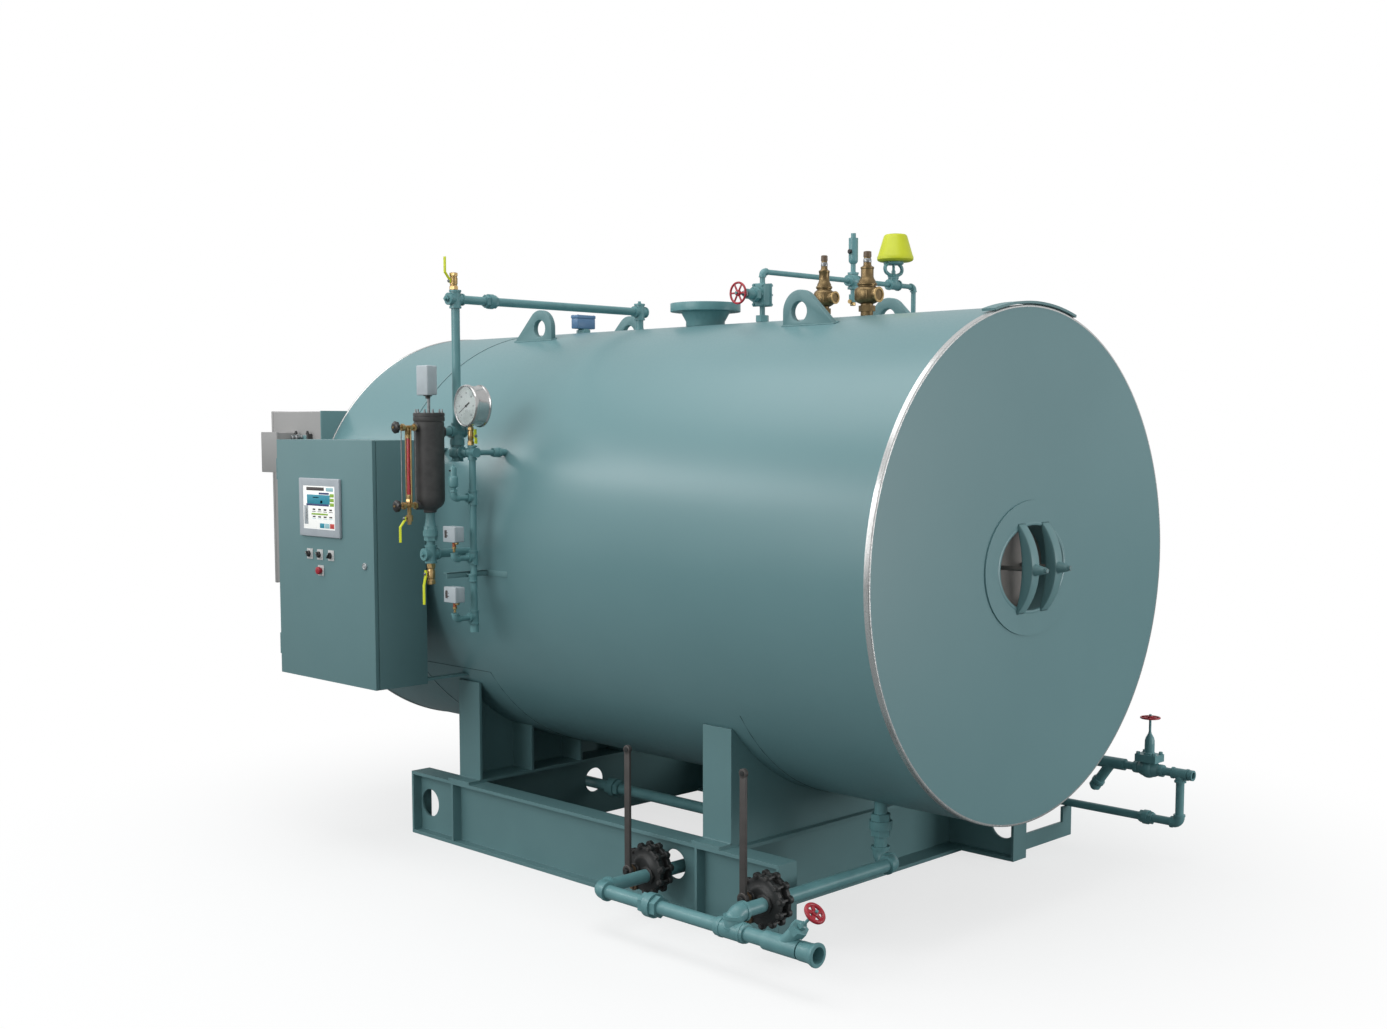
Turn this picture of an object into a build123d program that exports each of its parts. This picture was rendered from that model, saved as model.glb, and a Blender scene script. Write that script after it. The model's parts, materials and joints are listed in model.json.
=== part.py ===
"""Packaged industrial boiler on a skid: insulated horizontal shell with a bolted manway,
element housing, control cabinet, water column, gauge piping, feed and blowdown lines.

Millimetres. +X runs along the shell towards the manway end, -Y is the operator's side, +Z up.
The origin is on the floor, under the middle of the rear cross member. Places along the shell
are given as stations, measured forward from the manway face.
"""
import os
from math import cos, radians, sin, sqrt

from build123d import *

# Fits
seat_gap = 0.3
running_gap = 0.05

# Shell
shell_radius = 907.5
shell_wall = 85.0
front_cover = 60.0
rear_cover = 110.0
ring_width = 45.0
ring_proud = 7.0
strap_overhang = 5.0
strap_thickness = 9.0
strap_half_angle = 16.0

# Skid beams
rear_overhang = 800.0
beam_rear_station = 495.0
beam_front_lap = 339.0
beam_spacing = 1440.0
beam_height = 274.0
beam_flange_width = 95.0
beam_flange = 14.0
beam_web = 10.0
lifting_hole_diameter = 120.0
lifting_hole_inset = 78.0
end_plate = 12.0

# Cross members and the saddles that stand over them
rear_saddle_station = 850.0
saddle_spacing = 1462.0
front_overhang = 870.0
cross_width = 100.0
cross_web = 8.0
saddle_width = 142.0
saddle_plate = 12.0
saddle_base_plate = 12.0
saddle_end_inset = 14.0
saddle_base_lap = 47.0
saddle_rib_count = 6
saddle_top_step = 12.0
shell_clearance = 91.5

# Manway, 12 by 16 inches inside
manway_half_width = 203.2
manway_half_height = 152.4
manway_neck_wall = 20.0
manway_neck_depth = 90.0
manway_flange_half_width = 288.0
manway_flange_half_height = 238.0
manway_flange = 5.0
manway_plate_thickness = 22.0
manway_plate_lap = 15.0
yoke_spacing = 148.0
yoke_width = 45.0
yoke_half_height = 158.0
yoke_rise = 60.0
yoke_inner_rise = 18.0
yoke_foot = 26.0
manway_stud_radius = 8.0
manway_stud_reach = 112.0
manway_nut_radius = 20.0
manway_nut_edge = 2.0
manway_nut_wall = 3.0

# Lifting lugs
lug_spacing = 530.0
lug_thickness = 25.0
lug_hole_diameter = 75.0
lug_eye_rise = 9.5
lug_top_radius = 80.0
lug_foot = 256.0
rear_lug_offset = 74.0
front_lug_offset = 49.0
lug_shoulder_angle = 42.0

# Steam outlet, a flanged nozzle
steam_offset = 19.0
steam_rise = 92.5
steam_flange_diameter = 292.0
steam_flange_thickness = 34.0
steam_bolt_circle = 241.3
steam_bolt_count = 8
steam_bolt_hole = 22.4
steam_bore = 146.0
steam_neck_wall = 8.0
steam_hub_flare = 22.0
steam_hub_height = 40.0

# Pipes, by outside radius, with the proportions of screwed fittings
half_inch = 10.7
three_quarter_inch = 13.35
one_inch = 16.7
inch_and_a_half = 24.15
socket_ratio = 1.28
branch_step = 0.05
bead_ratio = 1.42
bead_length = 0.45
bend_ratio = 1.45
socket_reach = 2.1
union_across = 2.7
union_length = 3.4
union_nut_ratio = 1.75
union_nut_length = 1.3
ball_waist_ratio = 0.9
ball_body_ratio = 1.15
ball_body_share = 0.36
ball_end_ratio = 2.3
ball_end_share = 0.2

# Probe box on top of the shell
probe_offset = 57.0
probe_box_size = (45.0, 105.0, 63.0)
probe_neck_radius = 31.0
probe_neck_height = 20.0

# Balance line from the top of the shell down to the water column
balance_offset = 312.0
balance_rise = 78.0
riser_standoff = 75.0
riser_tee_height = 472.0
link_height = 391.0
riser_foot_height = 358.0
union_inset = 170.0

# Water column
column_offset = 133.0
column_radius = 55.0
column_top = 545.0
column_bottom = 160.0
column_flange_radius = 61.0
column_flange = 14.0
column_neck_radius = 22.0
column_stem_radius = 7.0
level_box_size = (60.0, 55.0, 122.0)
level_box_bottom = 604.0
level_box_corner = 5.0
leg_height = -1.0

# Gauge glass
glass_offset = 97.0
glass_radius = 7.0
glass_top = 489.0
glass_bottom = 190.0
glass_gland = 12.0
glass_nut_ratio = 2.1
glass_body_reach = 2.6
glass_rod_radius = 3.0
glass_rod_spacing = 34.0
glass_cock_radius = 8.0
glass_wheel_offset = 56.0
glass_wheel_radius = 22.5
glass_wheel_width = 18.0
glass_stem_radius = 4.0
glass_drain_height = 142.0

# Gauge manifold
manifold_offset = 96.0
manifold_bottom = -295.0
manifold_arm_reach = 60.0
gauge_height = 571.0
gauge_radius = 82.0
gauge_depth = 72.0
gauge_bezel = 12.0
gauge_turn = 7.0
branch_offset = 93.0
transmitter_height = 217.0
switch_heights = (79.0, -155.0)
switch_size = (80.0, 50.0, 70.0)
switch_drop = 96.0
bracket_height = -89.0
bracket_width = 36.0
bracket_thickness = 6.0

# Small cocks and their levers
cock_stem_radius = 3.0
cock_stem_reach = 16.0
lever_stub = 7.0
lever_strip = 3.0
lever_grip_width = 13.0
lever_grip_thickness = 4.5
lever_neck_share = 0.28
lever_grip_share = 0.76
vent_lever_length = 92.0
gauge_lever_length = 40.0
glass_lever_length = 108.0
column_lever_length = 136.0

# Control cabinet
cabinet_offset = 22.0
cabinet_width = 718.0
cabinet_standoff = 24.5
cabinet_depth = 251.0
cabinet_bottom = -565.0
cabinet_height = 1002.0
cabinet_sheet = 3.0
cabinet_lip = 22.0
door_depth = 16.0
door_gap = 3.0
hinge_radius = 7.0
hinge_pin_radius = 3.0
hinge_leaf = 2.0
hinge_knuckle = 30.0
hinge_inset = 125.0
bracket_bar_size = (40.0, 8.0)
bracket_bar_inset = 22.0
bracket_bar_ends = (16.0, 37.0)
mounting_plate_margin = 45.0
mounting_plate_gap = 14.0

# What the door carries
screen_inset = 343.0
screen_drop = 279.0
screen_size = (302.0, 14.0, 242.0)
display_size = (218.0, 4.0, 164.0)
knob_insets = (249.0, 326.0, 409.0)
knob_drop = 475.0
knob_plate = 44.0
knob_radius = 15.0
knob_reach = 24.0
knob_grip = 9.0
knob_skirt = 14.0
stop_inset = 331.0
stop_drop = 541.0
stop_radius = 20.0
stop_reach = 28.0
stop_head = 12.0
stop_neck_radius = 14.0
stop_dome = 5.0
latch_inset = 61.0
latch_drop = 504.0
latch_radius = 15.0
latch_reach = 12.0

# Element housing on the front end, with its junction box
housing_depth = 429.0
housing_half_width = 852.0
housing_bottom = -240.0
housing_top = 560.0
junction_size = (132.0, 100.0, 179.0)
junction_inset = 219.0
junction_bottom = 285.0

# Feed line over the top of the shell
feed_station = 1280.0
feed_rise = 203.0
feed_far_offset = 90.0
feed_valve_rise = 110.0
feed_valve_size = (54.0, 54.0, 84.0)
feed_bonnet_reach = 93.0
feed_bonnet_radius = 20.0
feed_wheel_offset = 143.0
feed_cross_inset = 424.5
feed_control_inset = 145.5
breaker_top = 200.0
breaker_radius = 20.0
breaker_length = 78.0
actuator_base_radius = 80.0
actuator_top_radius = 46.5
actuator_height = 120.0
actuator_rise = 100.0
actuator_rim = 18.0
actuator_wing = 52.0
drop_cock_reach = 105.0

# Handwheels of the stop valves
wheel_radius = 45.0
wheel_stem_radius = 5.0
wheel_hub_depth = 14.0
wheel_spokes = 5
wheel_rim_sides = 8
wheel_rim_share = 0.12
wheel_spoke_share = 0.08
wheel_hub_share = 0.24

# Safety valves
safety_stations = (957.0, 745.0)
safety_body_radii = (34.0, 43.0)
safety_height = 243.0
safety_outlet_reach = 62.0
safety_outlet_rise = 76.0
safety_outlet_ratio = 0.68
safety_rim_ratio = 0.8
safety_rim = 12.0

# Feed train on the far side, its heights from the floor
train_standoff = 172.0
train_upper_z = 383.0
train_lower_z = 181.0
train_end_station = -70.0
train_tee_station = -22.0
train_valve_station = 117.0
train_valve_radius = 38.0
train_bonnet_size = (92.0, 74.0, 30.0)
train_bonnet_rise = 46.0
train_wheel_z = 594.0
train_strainer_station = 288.0
train_strainer_length = 126.0
train_strainer_leg = 140.0
train_union_station = 122.0
train_bypass_station = 1130.0
support_bar_height = 66.0
support_bar_bottom = 34.0
support_plate = 12.0
support_post_width = 67.0

# Blowdown piping, its heights from the floor
blow_z = 150.0
blow_rear_z = 202.0
blow_standoff = 380.0
blow_front_station = 1048.0
blow_rear_station = 395.0
blow_open_station = 85.0
blow_union_station = 775.0
blow_web_hole = 112.0
front_valve_standoff = 107.0
rear_valve_standoff = 191.0
valve_half_radius = 80.0
valve_hub_radius = 46.0
valve_thickness = 84.0
valve_rim = 26.0
valve_bolt_circle_radius = 82.0
valve_ear_radius = 13.0
valve_ear_count = 11
valve_offset = 25.0
pivot_offset = 60.0
pivot_rise = 12.0
lever_standoff = 78.0
lever_length = 425.0
lever_width = 30.0
lever_thickness = 12.0
lever_shaft_radius = 9.0
lever_eye_radius = 24.0
lever_boss_radius = 20.0
drain_valve_station = 180.0
drain_bonnet_reach = 92.0
drain_wheel_reach = 185.0
drain_wheel_radius = 38.0
front_drop_offset = 230.0
rear_drop_station = 460.0
rear_drop_offset = 250.0
drain_hole_diameter = 110.0

# Worked-out places
rear_face_x = rear_overhang
front_saddle_station = rear_saddle_station + saddle_spacing
shell_length = front_saddle_station + front_overhang
front_face_x = rear_face_x - shell_length
shell_axis_z = beam_height + saddle_base_plate + shell_clearance + shell_radius
top_z = shell_axis_z + shell_radius
beam_y = beam_spacing / 2
saddle_seat_z = beam_height + saddle_base_plate
riser_y = -(shell_radius + riser_standoff)
column_y = riser_y - column_offset
glass_y = column_y - glass_offset
branch_y = riser_y - branch_offset
balance_z = top_z + balance_rise
cabinet_back_y = -(shell_radius + cabinet_standoff)
cabinet_front_y = cabinet_back_y - cabinet_depth
train_y = shell_radius + train_standoff
blow_y = -(beam_y + blow_standoff)


def station(distance):
    """Place along X of a station, measured forward from the manway face."""
    return rear_face_x - distance


def level(height):
    """Height above the floor of a point given from the shell's axis."""
    return shell_axis_z + height


beam_rear_x = station(beam_rear_station)
beam_front_x = station(front_saddle_station + beam_front_lap)
beam_length = beam_rear_x - beam_front_x
steam_x = station(rear_saddle_station + saddle_spacing / 2 + steam_offset)
balance_x = station(front_saddle_station - balance_offset)
manifold_x = balance_x + manifold_offset
feed_x = station(feed_station)


def rod(start, end, radius, mode=Mode.ADD):
    """Round bar or pipe between two points."""
    run = Vector(*end) - Vector(*start)
    with Locations(Plane(origin=start, z_dir=run)):
        Cylinder(radius, run.length, align=(Align.CENTER, Align.CENTER, Align.MIN), mode=mode)


def collar(centre, direction, radius, length, mode=Mode.ADD):
    """Round sleeve centred on a point."""
    with Locations(Plane(origin=centre, z_dir=direction)):
        Cylinder(radius, length, mode=mode)


def hexagon(centre, direction, across, length):
    """Hexagon centred on a point, its axis along a direction."""
    with BuildPart(mode=Mode.PRIVATE) as nut:
        with BuildSketch(Plane(origin=centre, z_dir=direction)):
            RegularPolygon(across / 2, 6, major_radius=False)
        extrude(amount=length / 2, both=True)
    add(nut.part)


def bead(mouth, outward, pipe):
    """Rolled bead round the mouth of a socket."""
    inner = Vector(*mouth) - Vector(*outward).normalized() * (pipe * bead_length)
    rod(inner, mouth, pipe * bead_ratio)


def fitting(centre, directions, pipe):
    """Screwed tee or cross: a beaded socket on each arm, the run a little fatter than its branches."""
    run = Vector(*directions[0])
    for direction in directions:
        arm = Vector(*direction)
        lean = 0 if abs(arm.dot(run)) > seat_gap else 1 + abs(arm.Z)
        mouth = Vector(*centre) + arm * (pipe * socket_reach)
        rod(centre, mouth, pipe * (socket_ratio - branch_step * lean))
        bead(mouth, arm, pipe)


def elbow(before, corner, after, pipe):
    """Screwed elbow: one swept bend, fatter than the pipes it joins, beaded at both mouths."""
    first_end = corner + (before - corner).normalized() * (pipe * socket_reach)
    last_end = corner + (after - corner).normalized() * (pipe * socket_reach)
    bead(first_end, before - corner, pipe)
    bead(last_end, after - corner, pipe)
    with BuildPart(mode=Mode.PRIVATE) as bend:
        with BuildLine():
            FilletPolyline(first_end, corner, last_end, radius=pipe * bend_ratio)
        with BuildSketch(Plane(origin=first_end, z_dir=corner - first_end)):
            Circle(pipe * socket_ratio)
        sweep()
    add(bend.part)


def pipe_run(points, pipe):
    """Straight pipes through the points, with a screwed elbow at each turn."""
    corners = [Vector(*point) for point in points]
    last = len(corners) - 1
    for index in range(last):
        along = (corners[index + 1] - corners[index]).normalized() * (pipe * bend_ratio)
        tail = corners[index] + along if index > 0 else corners[index]
        head = corners[index + 1] - along if index + 1 < last else corners[index + 1]
        rod(tail, head, pipe)
    for before, corner, after in zip(corners, corners[1:], corners[2:]):
        elbow(before, corner, after, pipe)


def union(centre, direction, pipe):
    """Pipe union: two hexagon ends and a wide nut between them."""
    hexagon(centre, direction, pipe * union_across, pipe * union_length)
    collar(centre, direction, pipe * union_nut_ratio, pipe * union_nut_length)


def trim_to_shell():
    """Cut away what lies inside the shell, leaving the seating gap."""
    with Locations(Plane(origin=(0, 0, shell_axis_z), z_dir=(1, 0, 0))):
        Cylinder(shell_radius + seat_gap, shell_length * 2, mode=Mode.SUBTRACT)


def handwheel(centre, direction, radius, stem_radius):
    """Handwheel with an eight-sided rim, straight spokes and a bored hub."""
    rim = radius * wheel_rim_share
    spoke_length = radius - rim
    spoke_width = 2 * radius * wheel_spoke_share
    with BuildPart() as wheel:
        with BuildSketch(Plane.XZ):
            with Locations((spoke_length, 0)):
                RegularPolygon(rim, wheel_rim_sides, rotation=180 / wheel_rim_sides)
        revolve(axis=Axis.Z)
        with PolarLocations(0, wheel_spokes):
            with Locations((spoke_length / 2, 0, 0)):
                Box(spoke_length, spoke_width, spoke_width)
        Cylinder(radius * wheel_hub_share, wheel_hub_depth)
        Cylinder(stem_radius + running_gap, wheel_hub_depth * 2, mode=Mode.SUBTRACT)
    return Plane(origin=centre, z_dir=direction).location * wheel.part


def cock_lever(stem_foot, outward, along, length):
    """Cranked strip lever of a small ball valve, its eye bored for the valve's stem."""
    side = Vector(*outward)
    foot = Vector(*stem_foot) + side * lever_stub
    neck_length = length * lever_neck_share
    grip_length = length * lever_grip_share
    eye_plane = Plane(origin=foot, x_dir=along, z_dir=side)
    grip_plane = eye_plane.offset(lever_strip)
    with BuildPart() as lever:
        with BuildSketch(eye_plane):
            with Locations((neck_length / 2, 0)):
                SlotCenterToCenter(neck_length, lever_grip_width)
            Circle(cock_stem_radius + running_gap, mode=Mode.SUBTRACT)
        extrude(amount=lever_strip)
        with BuildSketch(grip_plane):
            with Locations((length - grip_length / 2, 0)):
                RectangleRounded(grip_length, lever_grip_width, lever_grip_width / 3)
        extrude(amount=lever_grip_thickness)
    return lever.part


def save(part, name):
    """Label a finished piece and write its file."""
    part.label = name
    export_step(part, f"parts/{name}.step")


os.makedirs("parts", exist_ok=True)

# Insulated shell
with BuildPart() as shell_jacket:
    with BuildSketch(Plane.YZ.offset(front_face_x + front_cover)):
        with Locations((0, shell_axis_z)):
            Circle(shell_radius)
            Circle(shell_radius - shell_wall, mode=Mode.SUBTRACT)
    extrude(amount=shell_length - front_cover - rear_cover)
    steam_hole = (steam_bore + steam_neck_wall) / 2
    rod((steam_x, 0, shell_axis_z), (steam_x, 0, top_z + shell_wall), steam_hole, Mode.SUBTRACT)
save(shell_jacket.part, "shell_jacket")

with BuildPart() as front_end_cover:
    with BuildSketch(Plane.YZ.offset(front_face_x)):
        with Locations((0, shell_axis_z)):
            Circle(shell_radius)
    extrude(amount=front_cover)
save(front_end_cover.part, "front_end_cover")

neck_half_width = manway_half_width + manway_neck_wall
neck_half_height = manway_half_height + manway_neck_wall
with BuildPart() as rear_end_cover:
    with BuildSketch(Plane.YZ.offset(rear_face_x - rear_cover)):
        with Locations((0, shell_axis_z)):
            Circle(shell_radius)
            Ellipse(neck_half_width + seat_gap, neck_half_height + seat_gap, mode=Mode.SUBTRACT)
    extrude(amount=rear_cover)
save(rear_end_cover.part, "rear_end_cover")

# Bright bands round both ends, and the strap over the rear one
with BuildPart() as trim_rings:
    for start_x in (front_face_x, rear_face_x - ring_width):
        with BuildSketch(Plane.YZ.offset(start_x)):
            with Locations((0, shell_axis_z)):
                Circle(shell_radius + ring_proud)
                Circle(shell_radius + seat_gap, mode=Mode.SUBTRACT)
        extrude(amount=ring_width)
save(trim_rings.part, "trim_rings")

shell_axis = Axis((0, 0, shell_axis_z), (1, 0, 0))
strap_inside = shell_radius + ring_proud + seat_gap
with BuildPart() as rear_top_strap:
    with BuildSketch(Plane.XZ):
        with Locations((rear_face_x - ring_width / 2, shell_axis_z + strap_inside + strap_thickness / 2)):
            Rectangle(ring_width + 2 * strap_overhang, strap_thickness)
    revolve(axis=shell_axis, revolution_arc=2 * strap_half_angle)
save(rear_top_strap.part.rotate(shell_axis, -strap_half_angle), "rear_top_strap")

# Manway: flanged neck, inner plate with its studs, and the bow yokes that pull it shut
with BuildPart() as manway_neck:
    with BuildSketch(Plane.YZ.offset(rear_face_x - manway_neck_depth)):
        with Locations((0, shell_axis_z)):
            Ellipse(neck_half_width, neck_half_height)
            Ellipse(manway_half_width, manway_half_height, mode=Mode.SUBTRACT)
    extrude(amount=manway_neck_depth)
    with BuildSketch(Plane.YZ.offset(rear_face_x)):
        with Locations((0, shell_axis_z)):
            Ellipse(manway_flange_half_width, manway_flange_half_height)
            Ellipse(manway_half_width, manway_half_height, mode=Mode.SUBTRACT)
    extrude(amount=manway_flange)
save(manway_neck.part, "manway_neck")

plate_face_x = rear_face_x - manway_neck_depth
with BuildPart() as manway_plate:
    with BuildSketch(Plane.YZ.offset(plate_face_x)):
        with Locations((0, shell_axis_z)):
            Ellipse(manway_half_width + manway_plate_lap, manway_half_height + manway_plate_lap)
    extrude(amount=-manway_plate_thickness)
    for stud_y in (-yoke_spacing / 2, yoke_spacing / 2):
        stud_end_x = rear_face_x + manway_stud_reach
        rod((plate_face_x, stud_y, shell_axis_z), (stud_end_x, stud_y, shell_axis_z), manway_stud_radius)
save(manway_plate.part, "manway_plate")

yoke_foot_x = rear_face_x + manway_flange
yoke_crown_x = yoke_foot_x + yoke_rise
nut_end_x = rear_face_x + manway_stud_reach - manway_stud_radius
with BuildPart() as manway_yokes:
    for yoke_y in (-yoke_spacing / 2, yoke_spacing / 2):
        with BuildSketch(Plane.XZ.offset(-yoke_y)):
            with BuildLine():
                top_heel = (yoke_foot_x, shell_axis_z + yoke_half_height)
                top_toe = (yoke_foot_x, shell_axis_z + yoke_half_height - yoke_foot)
                low_toe = (yoke_foot_x, shell_axis_z - yoke_half_height + yoke_foot)
                low_heel = (yoke_foot_x, shell_axis_z - yoke_half_height)
                ThreePointArc(top_heel, (yoke_crown_x, shell_axis_z), low_heel)
                Line(low_heel, low_toe)
                ThreePointArc(low_toe, (yoke_foot_x + yoke_inner_rise, shell_axis_z), top_toe)
                Line(top_toe, top_heel)
            make_face()
        extrude(amount=yoke_width / 2, both=True)
        with BuildSketch(Plane.XY.offset(shell_axis_z)):
            with BuildLine():
                Polyline(
                    (yoke_crown_x - yoke_inner_rise, yoke_y),
                    (yoke_crown_x - yoke_inner_rise, yoke_y + manway_nut_radius),
                    (yoke_crown_x + manway_nut_edge, yoke_y + manway_nut_radius),
                    (nut_end_x, yoke_y + manway_stud_radius + manway_nut_wall),
                    (nut_end_x, yoke_y),
                    close=True,
                )
            make_face()
        revolve(axis=Axis((0, yoke_y, shell_axis_z), (1, 0, 0)))
        bore = manway_stud_radius + seat_gap
        collar((yoke_crown_x, yoke_y, shell_axis_z), (1, 0, 0), bore, 4 * yoke_rise, Mode.SUBTRACT)
save(manway_yokes.part, "manway_yokes")

# Skid beams: I sections with closed ends, stiffeners and lifting holes
blow_front_x = station(blow_front_station)
blow_rear_x = station(blow_rear_station)
pocket_depth = (beam_flange_width - beam_web) / 2
stiffener_places = (
    beam_front_x + end_plate / 2,
    station(front_saddle_station) - saddle_width / 3,
    station(rear_saddle_station) - saddle_width / 3,
    beam_rear_x - end_plate / 2,
)
with BuildPart() as skid_beams:
    for side_y in (-beam_y, beam_y):
        with BuildSketch(Plane.YZ.offset(beam_front_x)):
            with Locations((side_y, beam_height / 2)):
                Rectangle(beam_flange_width, beam_height)
                with GridLocations(beam_web + pocket_depth, 1, 2, 1):
                    Rectangle(pocket_depth, beam_height - 2 * beam_flange, mode=Mode.SUBTRACT)
        extrude(amount=beam_length)
        for plate_x in stiffener_places:
            with Locations((plate_x, side_y, beam_height / 2)):
                Box(end_plate, beam_flange_width, beam_height)
    for hole_x in (beam_front_x + lifting_hole_inset, beam_rear_x - lifting_hole_inset):
        hole = (hole_x, 0, beam_height / 2)
        collar(hole, (0, 1, 0), lifting_hole_diameter / 2, beam_spacing * 2, Mode.SUBTRACT)
    pipe_hole = (blow_front_x, -beam_y, blow_z + blow_web_hole / 8)
    collar(pipe_hole, (0, 1, 0), blow_web_hole / 2, beam_flange_width * 2, Mode.SUBTRACT)
save(skid_beams.part, "skid_beams")

# Cross members: channels whose webs stand under the saddles, coped into the beams
cross_half_length = beam_y - beam_flange_width / 2 - seat_gap
coped_half_length = beam_y - beam_web / 2 - seat_gap
coped_height = beam_height - 2 * beam_flange - 2 * seat_gap
with BuildPart() as cross_members:
    for web_x, outward in ((station(rear_saddle_station), 1), (station(front_saddle_station), -1)):
        middle_x = web_x + outward * cross_width / 2
        with Locations((middle_x, 0, beam_height / 2)):
            Box(cross_width, 2 * cross_half_length, beam_height)
        with Locations((middle_x + outward * cross_web, 0, beam_height / 2)):
            Box(cross_width, 3 * cross_half_length, beam_height - 2 * beam_flange, mode=Mode.SUBTRACT)
        with Locations((web_x + outward * cross_web / 2, 0, beam_height / 2)):
            Box(cross_web, 2 * coped_half_length, coped_height)
    drain_hole = (station(front_saddle_station), 0, blow_z + drain_hole_diameter / 8)
    collar(drain_hole, (1, 0, 0), drain_hole_diameter / 2, cross_width, Mode.SUBTRACT)
save(cross_members.part, "cross_members")

# Saddles: base plate, hollowed web on the outer side, end plates and ribs
saddle_half_length = beam_y - saddle_end_inset
saddle_drop = sqrt(shell_radius**2 - saddle_half_length**2)
saddle_top_z = shell_axis_z - saddle_drop - saddle_top_step
saddle_rise = saddle_top_z - saddle_seat_z
rib_spacing = (2 * saddle_half_length - saddle_plate) / (saddle_rib_count - 1)
with BuildPart() as saddles:
    for middle_x, outward in ((station(rear_saddle_station), 1), (station(front_saddle_station), -1)):
        with Locations((middle_x, 0, beam_height + saddle_base_plate / 2)):
            Box(saddle_width, 2 * (beam_y + saddle_base_lap), saddle_base_plate)
        web_x = middle_x + outward * (saddle_width - saddle_plate) / 2
        with Locations((web_x, 0, saddle_seat_z + saddle_rise / 2)):
            Box(saddle_plate, 2 * saddle_half_length, saddle_rise)
        with Locations((middle_x, 0, saddle_seat_z + saddle_rise / 2)):
            with GridLocations(1, rib_spacing, 1, saddle_rib_count):
                Box(saddle_width, saddle_plate, saddle_rise)
    trim_to_shell()
save(saddles.part, "saddles")

# Lifting lugs: an eye over a foot that slants outwards
lug_y = lug_spacing / 2
lug_eye_z = top_z + lug_eye_rise
lug_foot_z = shell_axis_z + sqrt(shell_radius**2 - (lug_y + lug_thickness) ** 2)
lug_shoulder_z = lug_eye_z + lug_top_radius * sin(radians(lug_shoulder_angle))
rear_lug_x = station(rear_saddle_station + rear_lug_offset)
front_lug_x = station(front_saddle_station - front_lug_offset)
with BuildPart() as lifting_lugs:
    for side_x, slope in ((rear_lug_x, 1), (front_lug_x, -1)):
        eye_x = side_x + slope * lug_top_radius
        shoulder_x = eye_x + slope * lug_top_radius * cos(radians(lug_shoulder_angle))
        for side_y in (-lug_y, lug_y):
            with BuildSketch(Plane.XZ.offset(-side_y)):
                with Locations((eye_x, lug_eye_z)):
                    Circle(lug_top_radius)
                Polygon(
                    (side_x, lug_eye_z),
                    (side_x, lug_foot_z),
                    (side_x + slope * lug_foot, lug_foot_z),
                    (shoulder_x, lug_shoulder_z),
                    align=None,
                )
                with Locations((eye_x, lug_eye_z)):
                    Circle(lug_hole_diameter / 2, mode=Mode.SUBTRACT)
            extrude(amount=lug_thickness / 2, both=True)
    trim_to_shell()
save(lifting_lugs.part, "lifting_lugs")

# Steam outlet: a weld-neck flange on a short nozzle
steam_face_z = top_z + steam_rise
steam_flange_z = steam_face_z - steam_flange_thickness
steam_neck_radius = steam_bore / 2 + steam_neck_wall
with BuildPart() as steam_outlet:
    with BuildSketch(Plane.XZ):
        with BuildLine():
            Polyline(
                (steam_x + steam_bore / 2, top_z - shell_wall / 4),
                (steam_x + steam_neck_radius, top_z - shell_wall / 4),
                (steam_x + steam_neck_radius, steam_flange_z - steam_hub_height),
                (steam_x + steam_neck_radius + steam_hub_flare, steam_flange_z),
                (steam_x + steam_flange_diameter / 2, steam_flange_z),
                (steam_x + steam_flange_diameter / 2, steam_face_z),
                (steam_x + steam_bore / 2, steam_face_z),
                close=True,
            )
        make_face()
    revolve(axis=Axis((steam_x, 0, 0), (0, 0, 1)))
    with BuildSketch(Plane.XY.offset(steam_face_z)):
        with Locations((steam_x, 0)):
            with PolarLocations(steam_bolt_circle / 2, steam_bolt_count, 180 / steam_bolt_count):
                Circle(steam_bolt_hole / 2)
    extrude(amount=-steam_flange_thickness, mode=Mode.SUBTRACT)
    trim_to_shell()
save(steam_outlet.part, "steam_outlet")

# Probe box on its neck
probe_x = station(front_saddle_station + probe_offset)
probe_box_z = top_z + probe_neck_height
with BuildPart() as probe_box:
    rod((probe_x, 0, top_z - shell_wall / 4), (probe_x, 0, probe_box_z), probe_neck_radius)
    with Locations((probe_x, 0, probe_box_z + probe_box_size[2] / 2)):
        Box(*probe_box_size)
    trim_to_shell()
save(probe_box.part, "probe_box")

# Balance line: over the shell, down the riser, with a branch into the column
riser_tee_z = level(riser_tee_height)
link_z = level(link_height)
up = (0, 0, 1)
down = (0, 0, -1)
forward = (-1, 0, 0)
rearward = (1, 0, 0)
near = (0, -1, 0)
far = (0, 1, 0)
one_inch_reach = one_inch * socket_reach
with BuildPart() as balance_line:
    rod((balance_x, 0, top_z - shell_wall / 4), (balance_x, 0, balance_z), one_inch)
    fitting((balance_x, 0, balance_z), (up, down, near, far), one_inch)
    rod((balance_x, 0, balance_z), (balance_x, riser_y, balance_z), one_inch)
    union((balance_x, riser_y + union_inset, balance_z), far, one_inch)
    fitting((balance_x, riser_y, balance_z), (up, down, near, far), one_inch)
    rod((balance_x, riser_y, balance_z), (balance_x, riser_y, level(riser_foot_height)), one_inch)
    fitting((balance_x, riser_y, riser_tee_z), (up, down, near, far), one_inch)
    column_side_y = column_y + column_radius + seat_gap
    rod((balance_x, riser_y, riser_tee_z), (balance_x, column_side_y, riser_tee_z), one_inch)
    union((balance_x, riser_y, (riser_tee_z + link_z) / 2), up, one_inch)
    fitting((balance_x, riser_y, link_z), (up, down, rearward), one_inch)
    trim_to_shell()
save(balance_line.part, "balance_line")

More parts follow.
